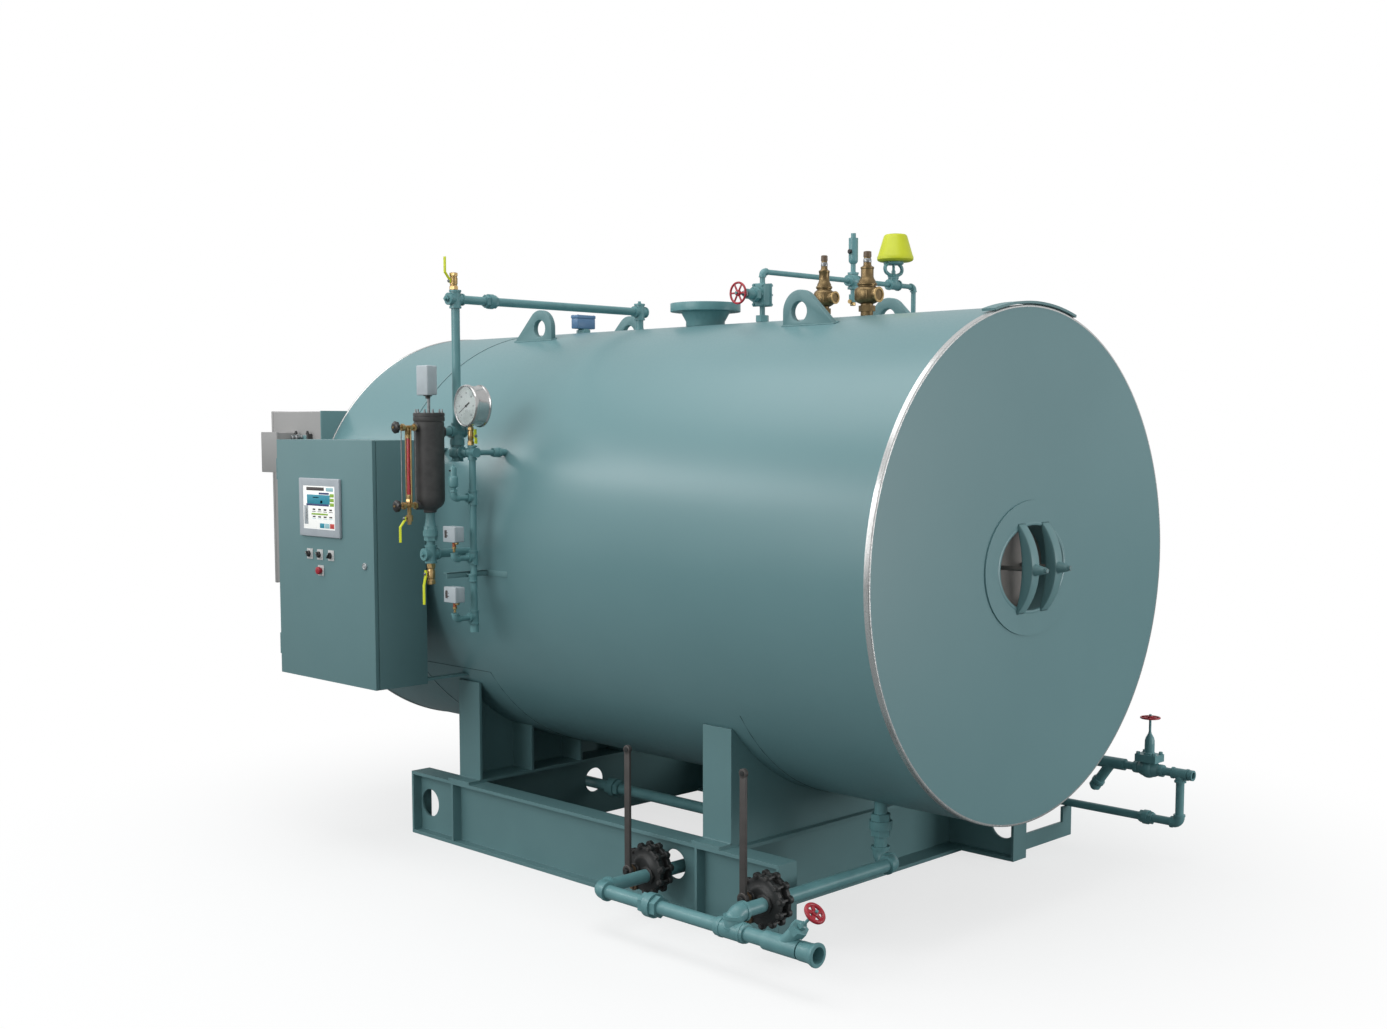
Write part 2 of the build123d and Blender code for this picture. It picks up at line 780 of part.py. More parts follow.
# Water column casting, its bolted top and the level control that stands on it
with BuildPart() as water_column:
    with BuildSketch(Plane(origin=(balance_x, column_y, shell_axis_z), x_dir=(1, 0, 0), z_dir=near)):
        with BuildLine():
            Polyline(
                (0, column_bottom),
                (column_neck_radius, column_bottom),
                (column_neck_radius, column_bottom + column_flange),
                (column_radius, column_bottom + 3 * column_flange),
                (column_radius, column_top - 3 * column_flange),
                (column_flange_radius, column_top - 2.5 * column_flange),
                (column_flange_radius, column_top),
                (0, column_top),
                close=True,
            )
        make_face()
    revolve(axis=Axis((balance_x, column_y, 0), (0, 0, 1)))
    box_z = level(level_box_bottom)
    rod((balance_x, column_y, level(column_top)), (balance_x, column_y, box_z), column_stem_radius)
save(water_column.part, "water_column")

with BuildPart() as level_control_box:
    with Locations((balance_x, column_y, box_z + level_box_size[2] / 2)):
        Box(*level_box_size)
    fillet(level_control_box.edges().filter_by(Axis.Z), level_box_corner)
save(level_control_box.part, "level_control_box")

# Water leg from the foot of the column back into the shell
leg_z = level(leg_height)
leg_foot_z = leg_z - one_inch_reach
with BuildPart() as column_water_leg:
    rod((balance_x, column_y, level(column_bottom)), (balance_x, column_y, leg_z), one_inch)
    union((balance_x, column_y, (level(column_bottom) + leg_z) / 2), up, one_inch)
    fitting((balance_x, column_y, leg_z), (up, down, near, far), one_inch)
    rod((balance_x, column_y, leg_z), (balance_x, shell_wall - shell_radius, leg_z), one_inch)
    trim_to_shell()
save(column_water_leg.part, "column_water_leg")

# Gauge glass between its two cocks, with guard rods either side
glass_top_z = level(glass_top)
glass_bottom_z = level(glass_bottom)
with BuildPart() as gauge_glass:
    glass_low = (balance_x, glass_y, glass_bottom_z + 2 * glass_gland)
    glass_high = (balance_x, glass_y, glass_top_z - 2 * glass_gland)
    rod(glass_low, glass_high, glass_radius)
save(gauge_glass.part, "gauge_glass")

cock_face_y = glass_y - glass_body_reach * glass_gland
glass_wheel_y = glass_y - glass_wheel_offset
glass_drain_z = level(glass_drain_height)
with BuildPart() as glass_cocks:
    for cock_z, inward in ((glass_top_z, -1), (glass_bottom_z, 1)):
        column_face_y = column_y - column_radius - seat_gap
        rod((balance_x, column_face_y, cock_z), (balance_x, cock_face_y, cock_z), glass_cock_radius)
        hexagon((balance_x, column_face_y - glass_gland, cock_z), far, glass_nut_ratio * glass_gland, glass_gland)
        hexagon((balance_x, cock_face_y + glass_gland / 2, cock_z), far, 2 * glass_gland, glass_gland)
        gland_end_z = cock_z + inward * 2 * glass_gland
        rod((balance_x, glass_y, cock_z), (balance_x, glass_y, gland_end_z), glass_gland)
        with Locations((balance_x, glass_y, cock_z)):
            Box(glass_rod_spacing + glass_gland, glass_gland, glass_gland)
        stem_end_y = glass_wheel_y - glass_wheel_width / 2 - glass_stem_radius
        rod((balance_x, cock_face_y, cock_z), (balance_x, stem_end_y, cock_z), glass_stem_radius)
    for offset in (-glass_rod_spacing / 2, glass_rod_spacing / 2):
        rod_x = balance_x + offset
        rod((rod_x, glass_y, glass_bottom_z), (rod_x, glass_y, glass_top_z), glass_rod_radius)
    drain_end_z = glass_drain_z - 2 * glass_gland
    rod((balance_x, glass_y, glass_bottom_z), (balance_x, glass_y, drain_end_z), glass_cock_radius)
    hexagon((balance_x, glass_y, glass_drain_z), up, 2 * glass_gland, 2 * glass_gland)
    glass_stem_foot = Vector(balance_x, glass_y - glass_gland, glass_drain_z)
    rod(glass_stem_foot, glass_stem_foot + Vector(*near) * cock_stem_reach, cock_stem_radius)
save(glass_cocks.part, "glass_cocks")

for name, wheel_z in (("glass_wheel_upper", glass_top_z), ("glass_wheel_lower", glass_bottom_z)):
    with BuildPart(Plane(origin=(balance_x, glass_wheel_y, wheel_z), z_dir=near)) as glass_wheel:
        Cylinder(glass_wheel_radius, glass_wheel_width)
        chamfer(glass_wheel.edges().filter_by(GeomType.CIRCLE), glass_wheel_width / 6)
        Cylinder(glass_stem_radius + running_gap, glass_wheel_width * 2, mode=Mode.SUBTRACT)
    save(glass_wheel.part, name)
save(cock_lever(glass_stem_foot, near, down, glass_lever_length), "glass_drain_lever")


def ball_valve(foot, direction, pipe, length):
    """Small ball valve: a round body with a hexagon at each end."""
    run = Vector(*direction) * length
    middle = Vector(*foot) + run / 2
    end_length = length * ball_end_share
    rod(foot, Vector(*foot) + run, pipe * ball_waist_ratio)
    for end in (foot + run.normalized() * end_length, foot + run - run.normalized() * end_length):
        hexagon(end, direction, pipe * ball_end_ratio, end_length)
    collar(middle, direction, pipe * ball_body_ratio, length * ball_body_share)


# Vent valve on top of the riser
vent_length = 4 * one_inch
vent_foot = Vector(balance_x, riser_y, balance_z + one_inch_reach)
vent_stem_foot = vent_foot + Vector(*near) * one_inch + Vector(*up) * (vent_length / 2)
with BuildPart() as vent_valve:
    ball_valve(vent_foot, up, one_inch, vent_length)
    rod(vent_stem_foot, vent_stem_foot + Vector(*near) * cock_stem_reach, cock_stem_radius)
save(vent_valve.part, "vent_valve")
save(cock_lever(vent_stem_foot, near, up, vent_lever_length), "vent_lever")

# Drain valve under the column
column_valve_length = 5 * one_inch
column_valve_foot = Vector(balance_x, column_y, leg_foot_z)
column_stem_foot = column_valve_foot + Vector(*near) * one_inch + Vector(*down) * (column_valve_length / 2)
with BuildPart() as column_drain_valve:
    ball_valve(column_valve_foot, down, one_inch, column_valve_length)
    rod(column_stem_foot, column_stem_foot + Vector(*near) * cock_stem_reach, cock_stem_radius)
save(column_drain_valve.part, "column_drain_valve")
save(cock_lever(column_stem_foot, near, down, column_lever_length), "column_drain_lever")

# Gauge manifold: a vertical pipe fed from the riser, with a branch for each control
manifold_reach = three_quarter_inch * socket_reach
half_inch_reach = half_inch * socket_reach
branch_heights = (transmitter_height,) + tuple(height - switch_drop for height in switch_heights)
with BuildPart() as gauge_manifold:
    link_start = (balance_x + one_inch_reach, riser_y, link_z)
    rod(link_start, (manifold_x, riser_y, link_z), three_quarter_inch)
    fitting((manifold_x, riser_y, link_z), (rearward, forward, up, down, far), three_quarter_inch)
    rod((manifold_x, riser_y, link_z), (manifold_x, riser_y, level(manifold_bottom)), three_quarter_inch)
    manifold_cap = (manifold_x, riser_y, level(manifold_bottom))
    collar(manifold_cap, up, three_quarter_inch * socket_ratio, manifold_reach)
    arm_end_y = -sqrt(shell_radius**2 - link_height**2) + manifold_arm_reach
    rod((manifold_x, riser_y, link_z), (manifold_x, arm_end_y, link_z), half_inch)
    for branch_height in branch_heights:
        branch_z = level(branch_height)
        fitting((manifold_x, riser_y, branch_z), (up, down, near), three_quarter_inch)
        branch_corner = (manifold_x, branch_y, branch_z)
        branch_end = (manifold_x, branch_y, branch_z + half_inch_reach)
        pipe_run(((manifold_x, riser_y, branch_z), branch_corner, branch_end), half_inch)
    trim_to_shell()
save(gauge_manifold.part, "gauge_manifold")

with BuildPart() as switch_nipples:
    for switch_height in switch_heights:
        nipple_low = (manifold_x, branch_y, level(switch_height - switch_drop) + half_inch_reach)
        nipple_high = (manifold_x, branch_y, level(switch_height) - switch_size[2] / 2)
        rod(nipple_low, nipple_high, half_inch * 0.6)
        nut_z = (nipple_low[2] + nipple_high[2]) / 2
        hexagon((manifold_x, branch_y, nut_z), up, half_inch * 1.9, half_inch * 1.8)
save(switch_nipples.part, "switch_nipples")

with BuildPart() as pressure_switches:
    for switch_height in switch_heights:
        with Locations((manifold_x, branch_y, level(switch_height))):
            Box(*switch_size)
    fillet(pressure_switches.edges().filter_by(Axis.Z), level_box_corner)
save(pressure_switches.part, "pressure_switches")

with BuildPart() as pressure_transmitter:
    sensor_foot = Vector(manifold_x, branch_y, level(transmitter_height) + half_inch_reach)
    rod(sensor_foot, sensor_foot + Vector(*up) * (2 * half_inch), half_inch * 1.5)
    hexagon(sensor_foot + Vector(*up) * (3 * half_inch), up, half_inch * 3.2, 2 * half_inch)
    sensor_head = sensor_foot + Vector(*up) * (10 * half_inch)
    rod(sensor_foot + Vector(*up) * (4 * half_inch), sensor_head, half_inch * 1.3)
save(pressure_transmitter.part, "pressure_transmitter")

# Pressure gauge, turned a little towards the operator, and the cock under it
gauge_normal = (-sin(radians(gauge_turn)), -cos(radians(gauge_turn)), 0)
gauge_plane = Plane(origin=(manifold_x, riser_y, level(gauge_height)), z_dir=gauge_normal)
with BuildPart(gauge_plane.offset(-gauge_depth / 3)) as pressure_gauge:
    Cylinder(gauge_radius - gauge_bezel / 3, gauge_depth, align=(Align.CENTER, Align.CENTER, Align.MIN))
    with Locations((0, 0, gauge_depth - gauge_bezel)):
        Cylinder(gauge_radius, gauge_bezel, align=(Align.CENTER, Align.CENTER, Align.MIN))
        with Locations((0, 0, gauge_bezel / 2)):
            Cylinder(
                gauge_radius - gauge_bezel / 2,
                gauge_bezel,
                align=(Align.CENTER, Align.CENTER, Align.MIN),
                mode=Mode.SUBTRACT,
            )
save(pressure_gauge.part, "pressure_gauge")

gauge_cock_foot = Vector(manifold_x, riser_y, link_z + manifold_reach)
gauge_foot_z = level(gauge_height - gauge_radius + gauge_bezel / 3) - seat_gap
gauge_cock_length = gauge_foot_z - gauge_cock_foot.Z
gauge_stem_foot = gauge_cock_foot + Vector(*up) * (gauge_cock_length / 2) + Vector(*rearward) * half_inch
with BuildPart() as gauge_cock:
    ball_valve(gauge_cock_foot, up, half_inch, gauge_cock_length)
    rod(gauge_stem_foot, gauge_stem_foot + Vector(*rearward) * cock_stem_reach, cock_stem_radius)
save(gauge_cock.part, "gauge_cock")
save(cock_lever(gauge_stem_foot, rearward, down, gauge_lever_length), "gauge_cock_lever")

# Flat bar that steadies the manifold off the shell
with BuildPart() as manifold_bracket:
    bar_x = manifold_x + three_quarter_inch + seat_gap + bracket_thickness / 2
    bar_end_y = branch_y - half_inch
    with Locations((bar_x, (bar_end_y - shell_radius + shell_wall) / 2, level(bracket_height))):
        Box(bracket_thickness, shell_wall - shell_radius - bar_end_y, bracket_width)
    trim_to_shell()
save(manifold_bracket.part, "manifold_bracket")

# Control cabinet: a sheet box, lipped round its mouth, with the door hung in front of it
cabinet_right_x = station(front_saddle_station - cabinet_offset)
cabinet_left_x = cabinet_right_x - cabinet_width
cabinet_x = cabinet_right_x - cabinet_width / 2
cabinet_bottom_z = level(cabinet_bottom)
cabinet_top_z = cabinet_bottom_z + cabinet_height
cabinet_z = (cabinet_bottom_z + cabinet_top_z) / 2
hinge_places = (cabinet_bottom_z + hinge_inset, cabinet_top_z - hinge_inset)
mouth_y = cabinet_front_y + door_depth + door_gap
body_depth = cabinet_back_y - mouth_y
hinge_x = cabinet_left_x - hinge_radius - seat_gap
hinge_y = cabinet_front_y + door_depth / 2
with BuildPart() as control_cabinet:
    with Locations((cabinet_x, mouth_y + body_depth / 2, cabinet_z)):
        Box(cabinet_width, body_depth, cabinet_height)
        Box(
            cabinet_width - 2 * cabinet_lip,
            body_depth + 2 * cabinet_sheet,
            cabinet_height - 2 * cabinet_lip,
            mode=Mode.SUBTRACT,
        )
        Box(
            cabinet_width - 2 * cabinet_sheet,
            body_depth - 2 * cabinet_sheet,
            cabinet_height - 2 * cabinet_sheet,
            mode=Mode.SUBTRACT,
        )
    with Locations((cabinet_x, cabinet_back_y - cabinet_sheet / 2, cabinet_z)):
        Box(cabinet_width, cabinet_sheet, cabinet_height)
    for hinge_z in hinge_places:
        for offset in (-hinge_knuckle, hinge_knuckle):
            collar((hinge_x, hinge_y, hinge_z + offset), up, hinge_radius, hinge_knuckle - 2 * seat_gap)
            leaf_depth = mouth_y + 3 * hinge_radius - hinge_y
            with Locations((cabinet_left_x - hinge_leaf / 2, hinge_y + leaf_depth / 2, hinge_z + offset)):
                Box(hinge_leaf, leaf_depth, hinge_knuckle - 2 * seat_gap)
        collar((hinge_x, hinge_y, hinge_z), up, hinge_pin_radius, 3 * hinge_knuckle - 2 * seat_gap)
save(control_cabinet.part, "control_cabinet")

with BuildPart() as mounting_plate:
    with Locations((cabinet_x, cabinet_back_y - cabinet_sheet - mounting_plate_gap / 2, cabinet_z)):
        Box(
            cabinet_width - 2 * mounting_plate_margin,
            cabinet_sheet,
            cabinet_height - 2 * mounting_plate_margin,
        )
        for side_x in (-cabinet_width / 3, cabinet_width / 3):
            for side_z in (-cabinet_height / 3, cabinet_height / 3):
                with Locations((side_x, mounting_plate_gap / 4, side_z)):
                    Box(mounting_plate_gap, mounting_plate_gap / 2, mounting_plate_gap)
save(mounting_plate.part, "mounting_plate")

with BuildPart() as cabinet_door:
    with Locations((cabinet_x, cabinet_front_y + door_depth / 2, cabinet_z)):
        Box(cabinet_width, door_depth, cabinet_height)
    with Locations((cabinet_x, cabinet_front_y + door_depth / 2 + cabinet_sheet, cabinet_z)):
        Box(
            cabinet_width - 2 * cabinet_sheet,
            door_depth,
            cabinet_height - 2 * cabinet_sheet,
            mode=Mode.SUBTRACT,
        )
    for hinge_z in hinge_places:
        hinge_centre = (hinge_x, hinge_y, hinge_z)
        collar(hinge_centre, up, hinge_radius, hinge_knuckle)
        with Locations((cabinet_left_x - hinge_radius / 2, hinge_y, hinge_z)):
            Box(hinge_radius, hinge_leaf * 2, hinge_knuckle)
        collar(hinge_centre, up, hinge_pin_radius + running_gap, 2 * hinge_knuckle, Mode.SUBTRACT)
save(cabinet_door.part, "cabinet_door")

# Bars that carry the cabinet off the shell
with BuildPart() as cabinet_brackets:
    bar_length = shell_radius - shell_wall
    for bar_z in (cabinet_bottom_z + bracket_bar_ends[0], cabinet_top_z - bracket_bar_ends[1]):
        for end_x in (cabinet_left_x + bracket_bar_inset, cabinet_right_x - bracket_bar_inset):
            with Locations((end_x, cabinet_back_y + bar_length / 2, bar_z)):
                Box(bracket_bar_size[0], bar_length, bracket_bar_size[1])
    trim_to_shell()
save(cabinet_brackets.part, "cabinet_brackets")

# Operator's screen, selectors, stop button and latch on the door
with BuildPart() as operator_screen:
    screen_centre = Vector(cabinet_left_x + screen_inset, cabinet_front_y, cabinet_top_z - screen_drop)
    with Locations(screen_centre + Vector(*near) * (screen_size[1] / 2)):
        Box(*screen_size)
    fillet(operator_screen.edges().filter_by(Axis.Y), level_box_corner)
    with Locations(screen_centre + Vector(*near) * screen_size[1]):
        Box(*display_size, mode=Mode.SUBTRACT)
save(operator_screen.part, "operator_screen")

with BuildPart() as selector_knobs:
    for knob_inset in knob_insets:
        knob_centre = Vector(cabinet_left_x + knob_inset, cabinet_front_y, cabinet_top_z - knob_drop)
        with Locations(knob_centre + Vector(*near) * (knob_reach / 8)):
            Box(knob_plate, knob_reach / 4, knob_plate)
        rod(knob_centre, knob_centre + Vector(*near) * knob_skirt, knob_radius)
        with Locations(knob_centre + Vector(*near) * (knob_reach / 2)):
            Box(knob_grip, knob_reach, 2 * knob_radius)
save(selector_knobs.part, "selector_knobs")

with BuildPart() as stop_button:
    stop_centre = Vector(cabinet_left_x + stop_inset, cabinet_front_y, cabinet_top_z - stop_drop)
    stop_end = stop_centre + Vector(*near) * stop_reach
    rod(stop_centre, stop_end, stop_neck_radius)
    rod(stop_centre + Vector(*near) * (stop_reach - stop_head), stop_end, stop_radius)
    fillet(stop_button.faces().sort_by(Axis.Y)[0].edges(), stop_dome)
save(stop_button.part, "stop_button")

with BuildPart() as door_latch:
    latch_centre = Vector(cabinet_right_x - latch_inset, cabinet_front_y, cabinet_top_z - latch_drop)
    rod(latch_centre, latch_centre + Vector(*near) * latch_reach, latch_radius)
save(door_latch.part, "door_latch")

# Element housing bolted to the front end, and the junction box on its side
with BuildPart() as element_housing:
    with Locations((front_face_x - housing_depth / 2, 0, level((housing_bottom + housing_top) / 2))):
        Box(housing_depth, 2 * housing_half_width, housing_top - housing_bottom)
save(element_housing.part, "element_housing")

with BuildPart() as junction_box:
    junction_x = front_face_x - junction_inset - junction_size[0] / 2
    junction_y = -housing_half_width - junction_size[1] / 2
    with Locations((junction_x, junction_y, level(junction_bottom + junction_size[2] / 2))):
        Box(*junction_size)
save(junction_box.part, "junction_box")

# Feed line: nozzle, stop valve, pipe over the shell, breaker cross and the drop behind
feed_z = top_z + feed_rise
feed_valve_z = top_z + feed_valve_rise
feed_far_y = shell_radius + feed_far_offset
feed_cross_y = feed_far_y - feed_cross_inset
feed_control_y = feed_far_y - feed_control_inset
with BuildPart() as feed_line:
    hexagon((feed_x, 0, top_z + 1.5 * half_inch), up, 4.4 * half_inch, 2.4 * half_inch)
    with Locations((feed_x, 0, feed_valve_z)):
        Box(*feed_valve_size)
    bonnet_start = (feed_x, 0, feed_valve_z)
    rod(bonnet_start, (feed_x, -feed_bonnet_reach, feed_valve_z), feed_bonnet_radius)
    hexagon((feed_x, -feed_bonnet_reach / 2, feed_valve_z), far, 2.7 * feed_bonnet_radius, half_inch * 2)
    stem_end = (feed_x, -feed_wheel_offset - wheel_hub_depth, feed_valve_z)
    rod(bonnet_start, stem_end, wheel_stem_radius)
    train_side_y = train_y - one_inch_reach
    pipe_run(
        (
            (feed_x, 0, top_z - shell_wall / 4),
            (feed_x, 0, feed_z),
            (feed_x, feed_far_y, feed_z),
            (feed_x, feed_far_y, train_upper_z),
            (feed_x, train_side_y, train_upper_z),
        ),
        half_inch,
    )
    cross_centre = Vector(feed_x, feed_cross_y, feed_z)
    fitting(cross_centre, (up, down, near, far), one_inch)
    rod(cross_centre, cross_centre + Vector(*up) * breaker_top, half_inch)
    breaker_high = cross_centre + Vector(*up) * (breaker_top - breaker_radius)
    rod(breaker_high, breaker_high + Vector(*down) * breaker_length, breaker_radius)
    rod(cross_centre, cross_centre + Vector(*down) * drop_cock_reach, half_inch)
    hexagon(cross_centre + Vector(*down) * (drop_cock_reach * 0.7), up, half_inch * 3, half_inch * 3)
    fitting((feed_x, feed_control_y, feed_z), (up, near, far), one_inch)
    trim_to_shell()
save(feed_line.part, "feed_line")
feed_wheel_centre = (feed_x, -feed_wheel_offset, feed_valve_z)
save(handwheel(feed_wheel_centre, near, wheel_radius, wheel_stem_radius), "feed_wheel")

# Control valve yoke and its domed actuator
yoke_low_z = feed_z + one_inch_reach
yoke_high_z = feed_z + actuator_rise
with BuildPart() as actuator_yoke:
    rod((feed_x, feed_control_y, yoke_low_z), (feed_x, feed_control_y, yoke_high_z), half_inch)
    with Locations((feed_x, feed_control_y, yoke_low_z + half_inch / 2)):
        Box(2.4 * half_inch, 2 * actuator_wing, half_inch)
    with Locations((feed_x, feed_control_y, yoke_low_z + (yoke_high_z - yoke_low_z) / 2)):
        with GridLocations(1, 2 * actuator_wing - half_inch, 1, 2):
            Box(2.4 * half_inch, half_inch, yoke_high_z - yoke_low_z)
save(actuator_yoke.part, "actuator_yoke")

with BuildPart() as feed_actuator:
    with BuildSketch(Plane(origin=(feed_x, feed_control_y, yoke_high_z), x_dir=(1, 0, 0), z_dir=near)):
        with BuildLine():
            Polyline((0, 0), (actuator_base_radius, 0), (actuator_base_radius, actuator_rim))
            Line((actuator_base_radius, actuator_rim), (actuator_top_radius, actuator_height))
            Polyline((actuator_top_radius, actuator_height), (0, actuator_height), (0, 0))
        make_face()
    revolve(axis=Axis((feed_x, feed_control_y, 0), (0, 0, 1)))
    fillet(feed_actuator.edges().group_by(Axis.Z)[-1], actuator_rim / 2)
save(feed_actuator.part, "feed_actuator")

# Safety valves: threaded neck, body, bonnet, cap and a side outlet
with BuildPart() as safety_valves:
    for valve_station, body_radius in zip(safety_stations, safety_body_radii):
        valve_x = station(valve_station)
        foot = Vector(valve_x, 0, top_z)
        steps = (
            (-0.05, 0.22, 0.52),
            (0.18, 0.42, 1.00),
            (0.40, 0.48, 0.75),
            (0.47, 0.53, 0.90),
            (0.52, 0.78, 0.62),
            (0.76, 0.80, 0.70),
            (0.79, 1.00, 0.34),
        )
        for low, high, share in steps:
            low_point = foot + Vector(*up) * (safety_height * low)
            rod(low_point, foot + Vector(*up) * (safety_height * high), body_radius * share)
        outlet = foot + Vector(*up) * safety_outlet_rise
        outlet_end = outlet + Vector(*rearward) * safety_outlet_reach
        rod(outlet, outlet_end, body_radius * safety_outlet_ratio)
        rod(outlet_end - Vector(*rearward) * safety_rim, outlet_end, body_radius * safety_rim_ratio)
    trim_to_shell()
save(safety_valves.part, "safety_valves")

# Feed train: stop valve and strainer on the upper line, bypass below
train_tee_x = station(train_tee_station)
train_valve_x = station(train_valve_station)
train_bypass_x = station(train_bypass_station)
train_strainer_x = station(train_strainer_station)
with BuildPart() as feed_train:
    train_end = (station(train_end_station), train_y, train_upper_z)
    pipe_run(((feed_x, train_side_y, train_upper_z), (feed_x, train_y, train_upper_z), train_end), one_inch)
    collar(train_end, rearward, one_inch * socket_ratio, one_inch)
    pipe_run(
        (
            (train_tee_x, train_y, train_upper_z),
            (train_tee_x, train_y, train_lower_z),
            (train_bypass_x, train_y, train_lower_z),
            (train_bypass_x, train_y, train_upper_z),
        ),
        one_inch,
    )
    fitting((train_tee_x, train_y, train_upper_z), (rearward, forward, down), one_inch)
    fitting((train_bypass_x, train_y, train_upper_z), (rearward, forward, down), one_inch)
    union((station(train_union_station), train_y, train_lower_z), rearward, one_inch)
    with Locations((train_valve_x, train_y, train_upper_z)):
        Sphere(train_valve_radius)
    with Locations((train_valve_x, train_y, train_upper_z + train_bonnet_rise)):
        Box(*train_bonnet_size)
    bonnet_low = (train_valve_x, train_y, train_upper_z)
    bonnet_high = (train_valve_x, train_y, (train_upper_z + train_wheel_z) / 2)
    rod(bonnet_low, bonnet_high, feed_bonnet_radius)
    rod(bonnet_low, (train_valve_x, train_y, train_wheel_z + wheel_hub_depth), wheel_stem_radius)
    strainer = Vector(train_strainer_x, train_y, train_upper_z)
    collar(strainer, rearward, one_inch * bend_ratio, train_strainer_length)
    strainer_end = strainer + Vector(-1, 0, -sqrt(2)).normalized() * train_strainer_leg
    rod(strainer, strainer_end, one_inch * socket_ratio)
    collar(train_end, rearward, one_inch * 0.8, 4 * one_inch, Mode.SUBTRACT)
save(feed_train.part, "feed_train")
save(handwheel((train_valve_x, train_y, train_wheel_z), up, wheel_radius, wheel_stem_radius), "train_wheel")

# Support under the train, off the end of the far beam
support_start_y = beam_y + beam_flange_width / 2
support_x = beam_rear_x - support_plate / 2
with BuildPart() as train_support:
    bar_end_y = train_y + support_post_width / 2
    support_bar_z = support_bar_bottom + support_bar_height / 2
    with Locations((support_x, (support_start_y + bar_end_y) / 2, support_bar_z)):
        Box(support_plate, bar_end_y - support_start_y, support_bar_height)
    post_top_z = train_lower_z - one_inch - seat_gap
    with Locations((support_x, train_y, (support_bar_bottom + post_top_z) / 2)):
        Box(support_plate, support_post_width, post_top_z - support_bar_bottom)
save(train_support.part, "train_support")

# Drain lines from the bottom of the shell to the two blowdown valves
front_valve_y = -(beam_y + front_valve_standoff)
rear_valve_y = -(beam_y + rear_valve_standoff)
front_drop_x = station(front_saddle_station + front_drop_offset)
rear_drop_x = station(rear_drop_station)
drop_start_z = shell_axis_z - shell_radius + shell_wall
with BuildPart() as drain_lines:
    pipe_run(
        (
            (front_drop_x, 0, drop_start_z),
            (front_drop_x, 0, blow_z),
            (blow_front_x, 0, blow_z),
            (blow_front_x, front_valve_y + valve_thickness / 2 + seat_gap, blow_z),
        ),
        inch_and_a_half,
    )
    union((station(front_saddle_station) + saddle_width, 0, blow_z), rearward, inch_and_a_half)
    pipe_run(
        (
            (rear_drop_x, -rear_drop_offset, drop_start_z),
            (rear_drop_x, -rear_drop_offset, blow_rear_z),
            (blow_rear_x, -rear_drop_offset, blow_rear_z),
            (blow_rear_x, rear_valve_y + valve_thickness / 2 + seat_gap, blow_rear_z),
        ),
        inch_and_a_half,
    )
    union((rear_drop_x, -rear_drop_offset, (drop_start_z + blow_rear_z) / 2), up, inch_and_a_half)
    trim_to_shell()
save(drain_lines.part, "drain_lines")

# Lever blowdown valves: two round halves joined at a bolted rim, the shaft off to one side
valve_sites = (
    ("front_blowdown_lever", blow_front_x, front_valve_y, blow_z),
    ("rear_blowdown_lever", blow_rear_x, rear_valve_y, blow_rear_z),
)
with BuildPart() as blowdown_valves:
    for name, pipe_x, valve_y, pipe_z in valve_sites:
        centre_x = pipe_x - valve_offset
        with BuildSketch(Plane.XY.offset(pipe_z)):
            with BuildLine():
                Polyline(
                    (centre_x, valve_y - valve_thickness / 2),
                    (centre_x + valve_hub_radius, valve_y - valve_thickness / 2),
                    (centre_x + valve_half_radius, valve_y - valve_rim),
                    (centre_x + valve_half_radius, valve_y + valve_rim),
                    (centre_x + valve_hub_radius, valve_y + valve_thickness / 2),
                    (centre_x, valve_y + valve_thickness / 2),
                    close=True,
                )
            make_face()
        revolve(axis=Axis((centre_x, 0, pipe_z), (0, 1, 0)))
        with BuildSketch(Plane.XZ.offset(-valve_y - valve_rim / 2)):
            with Locations((centre_x, pipe_z)):
                Circle(valve_half_radius + valve_ear_radius / 3)
                with PolarLocations(valve_bolt_circle_radius, valve_ear_count):
                    Circle(valve_ear_radius)
        extrude(amount=valve_rim)
        hub = (centre_x, valve_y, pipe_z)
        collar(hub, far, valve_hub_radius, valve_thickness)
        boss_y = valve_y - lever_standoff
        pivot_x = pipe_x - pivot_offset
        pivot_z = pipe_z + pivot_rise
        boss_end = (pivot_x, boss_y + 2 * lever_thickness, pivot_z)
        rod((pivot_x, valve_y, pivot_z), boss_end, lever_boss_radius)
        rod(boss_end, (pivot_x, boss_y - lever_thickness, pivot_z), lever_shaft_radius)
save(blowdown_valves.part, "blowdown_valves")

for name, pipe_x, valve_y, pipe_z in valve_sites:
    lever_y = valve_y - lever_standoff
    pivot_x = pipe_x - pivot_offset
    pivot_z = pipe_z + pivot_rise
    with BuildPart() as lever:
        with BuildSketch(Plane.XZ.offset(-lever_y)):
            with Locations((pivot_x, pivot_z + lever_length / 2)):
                SlotCenterToCenter(lever_length, lever_width, rotation=90)
            with Locations((pivot_x, pivot_z)):
                Circle(lever_eye_radius)
                Circle(lever_shaft_radius + running_gap, mode=Mode.SUBTRACT)
        extrude(amount=lever_thickness / 2, both=True)
    save(lever.part, name)

